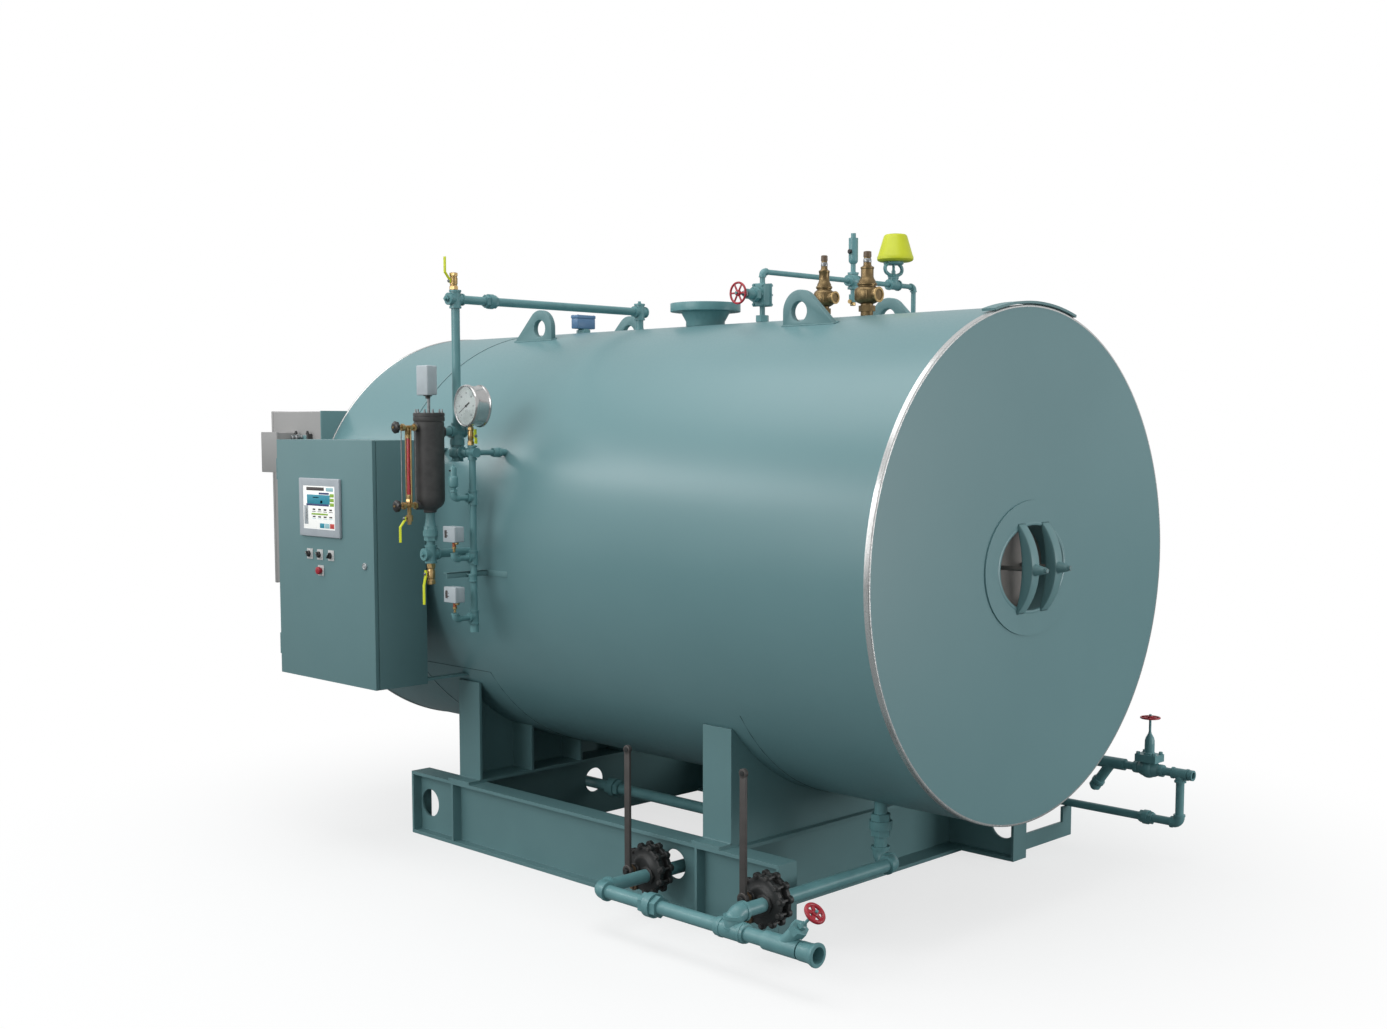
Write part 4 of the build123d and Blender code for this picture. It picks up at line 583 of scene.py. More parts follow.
def actuator():
    """Moulded actuator cap with its lower band, bowed arms under it, and their clamp."""
    low = box("feed_actuator")[0]
    centre = middle("feed_actuator")
    head = Vector((centre.x, centre.y, low.z))
    cap = [(52, 0), (66, 0.5), (75, 4), (79.5, 10), (79.5, 20), (78, 23), (77.5, 25), (75.5, 29), (52, 108),
           (49, 114), (44, 118), (36, 119.5), (10, 120)]
    dress("actuator_cap", yellow_nylon, turned(cap, 64, head + Vector((6, 4, 0))), "feed_actuator")
    base = Vector((centre.x, centre.y, box("actuator_yoke")[0].z))
    height = head.z - base.z
    parts = [
        turned([(9, 0), (9, height * 0.4), (6, height * 0.45), (6, height + 3)], 20, base),
        turned([(24, -6), (26, -3), (26, 3), (20, 6)], 6, base + up * 6),
        turned([(40, -12), (44, -8), (44, -1), (38, 1)], 32, head),
    ]
    for side in (-1, 1):
        bow = [(16, 6), (48, 12), (62, 30), (56, 50), (30, height - 4)]
        parts.append(wire([base + Vector((0, side * reach, rise)) for reach, rise in bow], 8, curved=True))
    dress("actuator_arms", pipe_enamel, parts, "actuator_yoke")


def handwheel(name, joint, axis, radius, spokes, spoke_width, rim):
    """Cast handwheel: round rim, spokes, hub and the nut that holds it on its stem."""
    reach = radius - rim
    deselect()
    bpy.ops.mesh.primitive_torus_add(
        major_radius=reach * mm, minor_radius=rim * mm, major_segments=48, minor_segments=12
    )
    parts = [bpy.context.object]
    for index in range(spokes):
        spoke = block((reach / 2, 0, 0), (reach, spoke_width, 5.5), 1.6)
        spoke.data.transform(Matrix.Rotation(2 * pi * index / spokes, 4, "Z"))
        parts.append(spoke)
    parts.append(turned([(11, -7), (12, -6), (12, 5), (9, 7)], 24))
    dress(f"{name}_casting", red_enamel, placed(joined(parts), pivots[joint], axis), name, body=name)
    nut = [(6, 6.5), (6, 9.5), (4, 10.5), (2.6, 10.5), (2.6, 12.5)]
    dress(f"{name}_nut", zinc_plate, turned(nut, 6, pivots[joint], axis), body=name)


def feed_stop_valve():
    """Bolted joint and gland of the feed stop valve."""
    wheel = middle("feed_wheel")
    plates = [block((wheel.x, offset, wheel.z), (62, 9, 92), 1.5) for offset in (-20, 20)]
    dress("feed_valve_flanges", pipe_enamel, plates)
    places = [(Vector((wheel.x + side_x, 0, wheel.z + side_z)) + way * 25, way)
              for side_x in (-23, 23) for side_z in (-38, 0, 38) for way in (near, far)]
    dress("feed_valve_bolts", pipe_enamel, copies(hex_bolt(11, 7), places))
    gland = turned([(15, 0), (15, 8), (9, 10), (9, 20)], 6, (wheel.x, -98, wheel.z), near)
    dress("feed_valve_gland", zinc_plate, gland)


def breaker_fittings():
    """Rounded cross under the vacuum breaker, its body, side knob and the small brass drip cock."""
    cross = Vector((middle("feed_actuator").x, 573, top_z + 203))
    crown = Vector((cross.x, cross.y, box("feed_line")[1].z))
    arm = mirrored([(29, 0), (27, 12), (16, 34), (12, 38)])
    shell = [(13, -128), (19, -120), (20, -112), (20, -50), (17, -38), (11, -26), (11, -24)]
    parts = [turned(arm, 24, cross), turned(arm, 24, cross, far), turned(shell, 24, crown)]
    dress("breaker_castings", pipe_enamel, parts)
    knob = turned([(8, 18), (10, 20), (10, 27), (7, 30)], 20, crown + down * 78, near)
    dress("breaker_knob", black_phenolic, knob)
    cock = [
        turned([(11, -105), (12, -103), (12, -92), (9, -90), (12, -84), (12, -72), (10, -68)], 8, cross),
        turned([(5, 0), (5, 18), (9, 18), (9, 24)], 12, cross + down * 88, near),
    ]
    dress("drip_cock", turned_brass, cock)


def train_stop_valve():
    """Globe body, bonnet bolts and domed yoke of the far stop valve, and the strainer's plug."""
    core = middle("train_wheel") + down * 211
    globe = mirrored([(34, 0), (33, 16), (30, 30), (25, 40), (22, 46), (25, 48), (25, 64), (24, 66)])
    dome = [(24, 58), (24, 66), (20, 70), (19.5, 118), (16, 130), (10, 141), (7, 146), (6, 152)]
    bolts = [(core + Vector((side_x, side_y, 61)), up) for side_x in (-36, 36) for side_y in (-27, 27)]
    foot = Vector((rear_x - 288, core.y, core.z))
    leg = Vector((-1, 0, -sqrt(2))).normalized()
    parts = [
        turned(globe, 32, core, rearward),
        turned(dome, 28, core),
        copies(hex_bolt(14, 10), bolts),
        turned([(23.5, 118), (24.5, 121), (24.5, 137), (17, 139), (15, 146), (12, 149)], 24, foot, leg),
        turned([(26, 96), (27, 98), (27, 112), (26, 114)], 24, foot, leg),
    ]
    dress("train_valve_body", pipe_enamel, parts)


def steam_gasket():
    """Raised face of the steam flange."""
    centre = (middle("steam_outlet").x, 0, box("steam_outlet")[1].z)
    face = turned([(108, -1), (108, 1.5), (73.5, 1.5), (73.5, -1)], 64, centre, hollow=True)
    dress("steam_raised_face", primed_steel, face)


def probe_housing():
    """Blue probe housing with a lid and screws, on its threaded hub."""
    base = Vector((middle("probe_box").x, 0, top_z + 20))
    case = [block(base + up * 24, (45, 105, 46), 4), block(base + up * 54, (48, 108, 15), 3)]
    dress("probe_housing", blue_enamel, case, "probe_box")
    dress("probe_hub", pipe_enamel, turned([(33, -16), (33, -2), (26, 0), (26, 3)], 6, base + down * 2))
    screws = [(base + Vector((side_x, side_y, 61)), up) for side_x in (-17, 17) for side_y in (-46, 46)]
    dress("probe_screws", zinc_plate, copies(hex_bolt(6, 1.6), screws))


# Water column and gauges

def column_casting():
    """Water column: flanged casting with rounded shoulders, bosses and a studded cover."""
    base = Vector((column.x, column.y, axis_z))
    body = [(22, 160), (25, 162), (25, 169), (31, 175), (43, 182), (52, 192), (57, 206), (58, 222), (58, 506),
            (56.5, 508), (56.5, 511), (59.5, 513), (60.5, 516), (60.5, 528), (59, 529), (59, 531),
            (60.5, 532), (60.5, 543), (58, 545), (20, 545)]
    boss = [(17, 40), (17, 63), (14, 65)]
    parts = [turned(body, 48, base)]
    parts += [turned(boss, 24, base + up * height, near) for height in (190, 489)]
    parts.append(turned([(26, 40), (26, 62), (22, 66)], 24, base + up * 472, far))
    dress("column_casting", dark_cast_iron, parts, "water_column")
    stud = turned([(4.6, 0), (4.6, 4.5), (2.9, 5.2), (2.9, 13), (1.8, 14)], 8)
    studs = copies(stud, around(base + up * 545, up, 50, 10, pi / 10))
    dress("column_studs", zinc_plate, [studs, turned([(6, 545), (6, 612)], 20, base)])


def control_boxes():
    """Level control and the two pressure controls: die-cast boxes with lids, windows and hubs."""
    low, high = box("level_control_box")
    bottom_z = low.z + 8
    width, depth, height = 71, 49, high.z - bottom_z
    centre = Vector((high.x - width / 2, low.y + depth / 2, (high.z + bottom_z) / 2))
    case = [
        block(centre + far * 5, (width - 2, depth - 10, height - 2), 5, 3),
        block((centre.x, low.y + 14, centre.z), (width, 28, height), 4, 3),
    ]
    dress("level_control_case", pale_enamel, case, "level_control_box")
    hub = turned([(17, 0), (17, 3), (9, 4), (9, 12), (7, 13)], 20, (centre.x + 4, centre.y, bottom_z), down)
    dress("level_control_hub", dark_cast_iron, hub)
    gland_place = (high.x - width + 1, centre.y, bottom_z + 46)
    gland = turned([(5, 0), (5, 5), (3.5, 7), (3.5, 10)], 12, gland_place, forward)
    dress("level_control_gland", black_phenolic, gland)

    low, high = box("pressure_switches")
    x, y = (low.x + high.x) / 2, (low.y + high.y) / 2
    siphon = middle("switch_nipples")
    cases, windows, tubes, hubs = [], [], [], []
    for z in (low.z + 35, high.z - 35):
        cases.append(block((x, y + 3, z), (73, 39, 60), 4, 3))
        cases.append(block((x, low.y + 8, z), (75, 16, 61), 3, 3))
        windows.append(recess(block((x - 19, low.y, z + 1), (13, 3, 30), 1), near, 1.6, 1))
        windows.append(block((x - 8, low.y, z - 6), (7, 2, 4), 0.6))
        windows.append(block((x - 8, low.y, z + 6), (7, 2, 2.5), 0.6))
        hubs.append(turned([(9, 0), (9, 9), (7, 11)], 6, (x + 16, y, z - 29), down))
        foot = (siphon.x, siphon.y, z - 29)
        tubes.append(turned([(7, 0), (7, 26), (5, 28)], 16, foot, down))
        hubs.append(turned([(5, 26), (5, 40), (6, 41)], 16, foot, down))
        hubs.append(turned([(9.5, 20), (9.5, 27), (7, 29)], 6, foot, down))
    dress("pressure_control_cases", pale_enamel, cases, "pressure_switches")
    dress("pressure_control_windows", dark_ink, windows)
    dress("control_siphons", bare_copper, tubes, "switch_nipples")
    dress("pressure_control_hubs", turned_brass, hubs)


def transmitter():
    """Pressure transmitter on its elbow: hexagon foot, painted body and connector."""
    low, high = box("pressure_transmitter")
    foot = Vector(((low.x + high.x) / 2, (low.y + high.y) / 2, low.z))
    body = [(11, 0), (13, 1), (13, 12), (10, 14), (10, 18), (18, 22), (19.5, 25), (19.5, 56), (18, 60),
            (14, 63), (13.5, 66), (13.5, 95), (12, 98), (6, 100), (5, 107)]
    parts = [turned(body, 24, foot), turned([(17, 2), (17, 11)], 6, foot)]
    dress("transmitter_body", pipe_enamel, parts, "pressure_transmitter", slot="bright_band")
    plug = turned([(3.5, 0), (3.5, 4)], 12, foot + Vector((0, -13, 84)), near)
    dress("transmitter_plug", black_phenolic, plug)


def steam_gauge():
    """Pressure gauge: deep polished case, bezel, pale dial with plain figures, and a fine pointer."""
    turn = radians(5)
    normal = Vector((-sin(turn), -cos(turn), 0))
    across = Vector((cos(turn), -sin(turn), 0))
    centre = Vector((manifold_x, riser_y + 24, axis_z + 571))
    case = turned(
        [(40, -24), (80, -24), (82, -22), (82, -18), (79, -16), (77.5, -14), (77.5, 28), (79, 31), (82, 33),
         (82.5, 38), (82, 43), (80.5, 47), (77, 48), (75, 46), (74, 41), (73, 39)], 64, centre, normal)
    dial = turned([(73.5, 39), (73.5, 39.8)], 64, centre, normal)
    start, sweep, needle = radians(225), radians(270), radians(208)
    divisions, figures = 30, 6

    def spot(angle, radius, lift=40):
        """Point of the dial at an angle and radius."""
        return centre + normal * lift + (across * cos(angle) + up * sin(angle)) * radius

    scale = []
    for index in range(divisions + 1):
        angle = start - sweep * index / divisions
        inner, weight = (64, 0.35) if index % 5 else (60, 0.6)
        scale.append(wire([spot(angle, inner), spot(angle, 68)], weight))
    basis = Matrix((across, up, normal)).transposed().to_4x4()
    for index in range(figures + 1):
        deselect()
        bpy.ops.object.text_add()
        figure = bpy.context.object
        figure.data.body = str(index * 50)
        figure.data.size = 9 * mm
        figure.data.align_x = "CENTER"
        figure.data.align_y = "CENTER"
        figure.data.extrude = 0.2 * mm
        bpy.ops.object.convert(target="MESH")
        place = spot(start - sweep * index / figures, 50)
        figure.data.transform(Matrix.Translation(place * mm) @ basis)
        scale.append(figure)
    pointer = [
        wire([spot(needle + pi, 26, 42), spot(needle, 4, 42)], 3.2),
        wire([spot(needle, 2, 42), spot(needle, 58, 42)], 1.2),
        turned([(5, 40), (5, 43), (3, 44)], 20, centre, normal),
    ]
    parts = [painted(case, polished_stainless), painted(dial, dial_enamel), painted(joined(scale), grey_ink),
             painted(joined(pointer), black_ink)]
    dress("steam_gauge", None, parts, "pressure_gauge", slot="bright_band")
    dress("steam_gauge_window", clear_glass, turned([(74, 44.6), (74, 45.8)], 48, centre, normal))
    neck = turned([(9, -98), (9, -78), (7, -76), (7, -70)], 6, centre + near * 24)
    dress("steam_gauge_neck", turned_brass, neck)


def glass_dress():
    """Red float line inside the gauge glass, guard rods and packing nuts."""
    low, high = box("gauge_glass")
    x, y = (low.x + high.x) / 2, (low.y + high.y) / 2
    length = high.z - low.z
    line = turned([(6.0, 0), (6.6, 2), (6.6, length - 2), (6.0, length)], 20, (x, y, low.z))
    dress("gauge_glass_line", red_line, line)
    rods = []
    for side in (-19, 19):
        rods.append(wire([(x + side, y + side, z) for z in (low.z - 14, high.z + 14)], 2))
    dress("guard_rods", zinc_plate, rods)
    nuts = []
    for z, way in ((low.z, up), (high.z, down)):
        nuts.append(turned([(14, -12), (14, 0), (12, 3), (8.5, 4)], 6, (x, y, z), way))
        nuts.append(turned([(9.5, 2), (9.5, 16), (8, 18)], 16, (x, y, z), way))
        nuts.append(placed(block((0, 0, 0), (62, 9, 4), 1.5), (x, y, z - 14 * way.z), up, pi / 4))
    dress("gauge_glass_nuts", turned_brass, nuts)


def glass_knob(name, joint):
    """Fluted black knob of a gauge cock with its lock nut."""
    grip = turned(mirrored([(22, 0), (20.5, 6), (16, 9.5), (8, 10)]), 32)
    flutes = copies(turned(mirrored([(4.6, 3), (3.2, 6)]), 10), around((0, 0, 0), up, 19, 9))
    knob = placed(joined([grip, flutes]), pivots[joint], near)
    dress(f"{name}_knob", black_phenolic, knob, name, body=name)
    nut = turned([(4, 9.5), (4, 11.5), (3, 12.3)], 6, pivots[joint], near)
    dress(f"{name}_nut", zinc_plate, nut, body=name, slot="brass")


def cock_bodies():
    """Small brass ball valves: hexagon ends, turned bodies and the stems that carry their levers."""
    for node, way, place, radius, joint, stem_way in (
        ("vent_valve", up, (column.x, riser_y), 15.5, "vent_lever_swing", near),
        ("column_drain_valve", down, (column.x, column.y), 15.5, "column_lever_swing", near),
        ("gauge_cock", up, (manifold_x, riser_y), 11.5, "gauge_lever_swing", rearward),
    ):
        low, high = box(node)
        length = high.z - low.z
        foot = (*place, low.z if way == up else high.z)
        body = [
            (0.8, 0), (1, 1), (1, length * 0.24), (0.86, length * 0.26), (0.86, length * 0.3),
            (1, length * 0.34), (1, length * 0.7), (0.88, length * 0.73), (0.88, length * 0.77),
            (0.98, length * 0.79), (0.98, length - 1.5), (0.8, length), (0.55, length), (0.5, length - 8),
        ]
        nut = [(1.18, 1.5), (1.18, length * 0.2)]
        tip = [(1.12, length * 0.82), (1.12, length - 2)]
        shapes = ((body, 24), (nut, 6), (tip, 6))
        parts = [turned(widened(shape, radius), sides, foot, way) for shape, sides in shapes]
        parts.append(turned([(6.5, -radius), (6.5, 3), (4, 4.5), (4, 8)], 12, pivots[joint], stem_way))
        dress(f"{node}_body", turned_brass, parts, node)


def cock_lever(name, joint, outward, along, length, lead, crank):
    """Cranked lever of a small cock, dipped in yellow vinyl to its nut.

    lead is its reach behind its pivot and crank how far it bends out.
    """
    bar = wire([(-lead, 0, 0), (6, 0, 0), (length * 0.36, 0, crank), (length, 0, crank)], 3.6)
    bar.data.transform(Matrix.Diagonal((1, 2.1, 1, 1)))
    nut = turned([(6.2, 2.5), (6.2, 6.5), (4.6, 7.5), (3, 7.5), (3, 10)], 6)
    lever = joined([painted(bar, yellow_vinyl), painted(nut, zinc_plate)])
    basis = Matrix((along, along.cross(outward), outward)).transposed().to_4x4()
    lever.data.transform(Matrix.Translation((pivots[joint] + outward * 9) * mm) @ basis)
    dress(f"{name}_sleeve", None, lever, name, body=name, slot="yellow_sleeve")


def manifold_fittings():
    """Couplings on the gauge manifold, and the angle and clamp that hold it to the shell."""
    link_z = box("gauge_cock")[0].z - 28
    arm = [(10.8, 56), (10.8, 104), (17, 105), (18, 107), (18, 128), (17, 130), (19.5, 131), (19.5, 140),
           (17, 142), (14, 152), (14, 166)]
    ring = mirrored([(16, 9), (17.4, 10), (17.4, 15), (13.4, 16)])
    union = [(11, -36), (13, -35), (13, -22), (18, -19), (25, -15), (27, -11), (27, 11), (25, 15), (18, 19),
             (18, 33)]
    reducer = [(16.9, 84), (24.5, 85), (25.5, 88), (25.5, 98), (24, 101), (18, 138), (18, 162)]
    parts = [turned(arm, 24, (manifold_x, riser_y, link_z), far)]
    parts += [turned(ring, 24, (manifold_x, riser_y, z)) for z in (1259, 1189, 1025)]
    parts.append(turned(union, 10, (column.x, riser_y, link_z)))
    parts.append(turned(reducer, 28, (column.x, column.y, axis_z)))
    dress("manifold_couplings", pipe_enamel, parts)
    low, high = box("manifold_bracket")
    left_x, leg_z = manifold_x - 15.5, high.z - 11
    centre_y, depth = (low.y + high.y) / 2 - 8, high.y - low.y + 14
    bend = [(left_x, -17), (manifold_x + 2, -18), (manifold_x + 18, 0), (manifold_x + 2, 18), (left_x, 17)]
    parts = [
        block((left_x - 11, centre_y, high.z - 2.5), (25, depth, 5), 1.5),
        block((left_x - 1, centre_y, leg_z), (5, depth, 22), 1.5),
        block((left_x + 56, high.y - 1, high.z - 12), (136, 6, 24), 2),
        wire([(x, riser_y + y, leg_z) for x, y in bend], 2.6, curved=True),
    ]
    dress("manifold_angle", plate_enamel, parts, "manifold_bracket")


def pipe_plugs():
    """Square-headed plugs in the unused arms of the crosses."""
    reach = 35
    balance_z = top_z + 78
    places = [
        ((column.x, 0, balance_z + reach), up),
        ((column.x, reach, balance_z), far),
        ((column.x, riser_y - reach, balance_z), near),
        ((column.x, riser_y + reach, axis_z + 472), far),
        ((column.x, column.y - reach, axis_z - 1), near),
    ]
    plugs = copies(turned([(14, -1), (14, 2), (9, 2), (9, 10), (7.5, 11)], 4), places)
    dress("pipe_plugs", pipe_enamel, plugs, angle=20)


# Cabinet

def operator_panel():
    """Screen on the door: silver bezel and a plain display of blocks, bars and keys."""
    low, high = box("operator_screen")
    centre = (low + high) / 2
    bezel = recess(block(centre, high - low, 4, 3), near, 27, 2)
    dress("screen_bezel", bezel_plastic, bezel, "operator_screen", body="door")
    face_y = low.y + 2
    marks = [
        (-27, 77, 134, 14, dark_ink), (82, 76, 54, 15, pale_ink), (38, 59, 76, 8, navy_ink),
        (-4, 34, 172, 38, teal_ink), (-10, 11, 170, 8, navy_ink), (-22, 42, 46, 4, navy_ink),
        (20, 24, 16, 12, pale_ink),
    ]
    marks += [(98, 52 - 19 * row, 30, 14, green_ink) for row in range(3)]
    for x in (-38, 4, 46, 88):
        marks += [(x, -8, 20, 7, dark_ink), (x, -17, 28, 2.5, dark_ink), (x, -38, 22, 6, dark_ink),
                  (x, -46, 28, 2, pale_ink)]
    marks += [
        (4, -27, 124, 7, green_ink), (-98, -32, 30, 78, bezel_plastic), (-94, -30, 14, 52, screen_ground),
        (22, -74, 34, 20, teal_ink), (60, -74, 34, 20, pale_ink), (97, -74, 32, 20, red_ink),
    ]
    parts = [painted(block((centre.x, face_y, centre.z), (240, 1.2, 180), 0.4), screen_ground)]
    for x, z, width, height, ink in marks:
        tile = block((centre.x + x, face_y - 0.8, centre.z + z), (width, 0.8, height), 0.3)
        parts.append(painted(tile, ink))
    dress("screen_display", None, parts, body="door", slot="screen")


def door_controls():
    """Three selector switches and a stop button on square plates, and the round latch."""
    low, high = box("selector_knobs")
    plates, knobs, pointers = [], [], []
    for offset, turn in ((160, 0.6), (83, 0.6), (0, -0.6)):
        centre = Vector((high.x - 22 - offset, door_low.y, (low.z + high.z) / 2))
        plates.append(block(centre + near * 1.5, (44, 3, 44), 1.2))
        plates.append(turned([(17, 2), (17, 5), (15, 6.5)], 32, centre, near))
        knobs.append(turned([(13.5, 5), (13.5, 10), (12, 13), (10, 14)], 32, centre, near))
        knobs.append(placed(block((0, 0, 13), (7, 25, 16), 2.5, 3), centre, near, turn))
        pointers.append(placed(block((0, 8, 21.2), (1.6, 7, 0.8), 0.2), centre, near, turn))
    stop = on_door("stop_button")
    plates.append(block(stop + near * 1.5, (44, 3, 44), 1.2))
    dress("switch_plates", white_enamel, plates, body="door")
    dress("selector_grips", black_phenolic, knobs, "selector_knobs", body="door")
    dress("selector_pointers", white_enamel, pointers, body="door")
    button = [(12, 2), (12, 9), (14.5, 10), (16, 12), (16, 17), (14.5, 20), (10, 22), (3, 22.5)]
    dress("stop_mushroom", red_enamel, turned(button, 40, stop, near), "stop_button", body="door",
          slot="stop_red")
    barrel = turned([(14, 0), (14, 6), (12, 8), (11, 8), (10.5, 6), (6, 6), (5, 8), (4, 11)],
                    32, on_door("door_latch"), near)
    dress("latch_barrel", galvanised_sheet, barrel, "door_latch", body="door", slot="bright_band")


def door_seal():
    """Rubber seal that shows in the gap between the door and the cabinet."""
    width, inset = 718, 5
    left_x, right_x = door_high.x - width + inset, door_high.x - inset
    low_z, high_z = door_low.z + inset, door_high.z - inset
    corners = [(x, door_high.y + 1, z) for x, z in
               ((left_x, low_z), (right_x, low_z), (right_x, high_z), (left_x, high_z))]
    sides = [wire([start, end], 1.8) for start, end in zip(corners, corners[1:] + corners[:1])]
    dress("door_seal", gasket_rubber, sides)


# Element housing

def housing_trim():
    """End plate, lid folds, screws and conduit hubs of the element housing and its junction box."""
    low, high = box("element_housing")
    depth, width, height = high - low
    centre = (low + high) / 2
    seams = (low.z + 120, low.z + 480)
    plate = block((high.x - 2.7, 0, centre.z), (7, width + 5, height + 5), 1)
    dress("housing_end_plate", plate_enamel, plate)
    folds = [block((low.x + 9, 0, centre.z), (16, width + 4, height + 4), 2)]
    folds += [block((centre.x + 8, 0, seam_z), (depth - 50, width + 3, 14), 1.2) for seam_z in seams]
    dress("housing_folds", grey_powder_coat, folds)
    places = [((low.x + 60 + 80 * step, side, seam_z), way)
              for side, way in ((low.y - 1.5, near), (high.y + 1.5, far))
              for seam_z in seams for step in range(5)]
    places += [((low.x + 4.6, 190 * step, edge_z), forward)
               for step in range(-4, 5) for edge_z in (low.z + 30, high.z - 30)]
    dress("housing_screws", zinc_plate, copies(hex_bolt(8, 4), places))

    case_low, case_high = box("junction_box")
    case = middle("junction_box")
    dress("junction_lid", grey_powder_coat, block((case.x, case_low.y + 5, case.z), (137, 12, 184), 2.5))
    hub_z = case_high.z - 24
    rail = block((case_high.x + 62, low.y - 7, hub_z - 8), (122, 14, 40), 2)
    dress("conduit_rail", plate_enamel, rail)
    hub = turned([(13, 0), (13, 8), (10, 9), (10, 26), (12, 27), (12, 33), (8, 35)], 20)
    places = [((case_high.x + offset, low.y - 12, hub_z), near) for offset in (40, 74)]
    dress("conduit_hubs", zinc_plate, copies(hub, places))
    tray = block((case_high.x + 136, low.y - 13, hub_z - 4), (12, 26, 46), 3)
    places = [((case_high.x + offset, low.y - 20, hub_z + 16), up) for offset in (34, 132)]
    glands = copies(turned([(9, 0), (9, 8), (6, 10), (6, 16)], 6), places)
    dress("conduit_tray", dark_cast_iron, [tray, glands])


# Blowdown

def blowdown_pair():
    """Lever blowdown valves: dished halves, two rims of bolted ears, boss and gland."""
    halves = mirrored([(66, 12), (82, 13.5), (84, 15), (84, 29), (82, 30.5), (70, 31), (58, 33), (53, 37),
                       (48, 41), (42, 42), (30, 42)])
    ear = [(12, 13), (14, 15), (14, 28.5), (12, 30.5)]
    plug = [(14, 8), (17, 11), (17, 38), (14, 41), (9, 41), (9, 49)]
    bodies, bolts, glands = [], [], []
    for joint, lift in (("front_lever_swing", 15), ("rear_lever_swing", 2)):
        pivot = pivots[joint]
        centre = pivot + Vector((35, 78, lift - 12))
        stem = pivot + far * 78
        rim = around(centre, near, 83, 11, 0.15)
        bodies.append(turned(halves, 64, centre, near))
        bodies.append(copies(joined([turned(ear, 14), turned(ear, 14, (0, 0, 0), down)]), rim))
        bolt = joined([placed(hex_bolt(14, 7), way * 30, way) for way in (up, down)]
                      + [turned([(4.5, -36), (4.5, 36)], 8)])
        bolts.append(copies(bolt, rim))
        bodies.append(turned([(24, 20), (24, 48), (21, 50), (21, 56)], 28, stem, near))
        glands.append(turned([(21, 52), (21, 60), (15, 62), (15, 70)], 6, stem, near))
        glands.append(turned([(9, 66), (9, 92)], 16, stem, near))
        glands.append(turned(plug, 20, centre + Vector((-52, 0, -70)), near))
        port = turned([(30, 36), (35, 38), (35, 45), (31, 47)], 8)
        bodies.append(copies(port, [(stem + Vector((60, 0, -12)), way) for way in (near, far)]))
    dress("blowdown_castings", black_cast_iron, bodies, "blowdown_valves")
    dress("blowdown_bolts", dark_cast_iron, bolts)
    dress("blowdown_glands", brown_lacquer, glands, slot="lever_steel")


def blowdown_lever(body, joint, length):
    """Flat lever of a blowdown valve: rounded foot and head, pivot nut and bush."""
    pivot = pivots[joint]
    head = pivot + up * length
    bar = [
        block(pivot + up * length / 2, (28, 12, length), 3),
        turned(mirrored([(23, 6), (21, 8)]), 32, pivot, near),
        turned(mirrored([(16, 6), (14, 7)]), 24, head, near),
    ]
    dress(f"{body}_bar", brown_oxide_paint, bar, body, body=body)
    nut = placed(hex_bolt(22, 10), pivot + near * 8, near)
    bushes = copies(turned([(9, 6.5), (9, 9), (5, 9.5)], 16), [(head, near), (head, far)])
    dress(f"{body}_fittings", black_cast_iron, [nut, bushes], body=body)


def blowdown_couplings():
    """Couplings on the blowdown manifold, and the belled end of its open outlet."""
    drain = Vector((rear_x - 180, -1100, 150))
    tee = Vector((pivots["rear_lever_swing"].x + 57, drain.y, drain.z))
    bell = [(24.6, 0), (31, 0), (32, 2), (32, 30), (33.5, 46), (38, 56), (39.5, 60), (39.5, 66), (37, 68),
            (27, 68), (25, 50)]
    union = [(24, -34), (31, -33), (32, -30), (32, -12), (37, -8), (38, -5), (38, 7), (36, 11), (31, 13),
             (31, 30), (24, 32)]
    parts = [
        turned(bell, 32, drain + rearward * 78, rearward, hollow=True),
        turned(mirrored([(32.5, 62), (31, 65), (24, 66)]), 32, tee, rearward),
        turned(union, 32, drain + forward * 595, rearward),
        turned([(12, 0), (14, 2), (14, 14), (9, 17), (9, 22)], 6, drain + slant * 106, slant),
    ]
    dress("blowdown_couplings", pipe_enamel, parts)


# Studio, in metres

def add_camera():
    """Camera at the photograph's viewing angle."""
    turn = radians(44.445)
    pitch = radians(5.007)
    back = Vector((sin(turn) * cos(pitch), -cos(turn) * cos(pitch), sin(pitch)))
    data = bpy.data.cameras.new("camera")
    data.lens = 41.05
    data.sensor_width = 36.0
    data.shift_x = -0.00826
    data.shift_y = 0.03595
    camera = bpy.data.objects.new("camera", data)
    bpy.context.scene.collection.objects.link(camera)
    camera.location = (3.848, -4.742, 1.780)
    camera.rotation_euler = (-back).to_track_quat("-Z", "Y").to_euler()
    bpy.context.scene.camera = camera


def seen_rays(tree, reflected):
    """One for rays to the camera or through glass, a share for reflected rays, nought for all others."""
    path = add_node(tree, "ShaderNodeLightPath")
    share = add_node(tree, "ShaderNodeMath", {"operation": "MULTIPLY", 1: reflected},
                     {0: path.outputs["Is Glossy Ray"]})
    seen = add_node(tree, "ShaderNodeMath", {"operation": "MAXIMUM"},
                    {0: path.outputs["Is Camera Ray"], 1: share.outputs[0]})
    return add_node(tree, "ShaderNodeMath", {"operation": "MAXIMUM"},
                    {0: seen.outputs[0], 1: path.outputs["Is Transmission Ray"]})


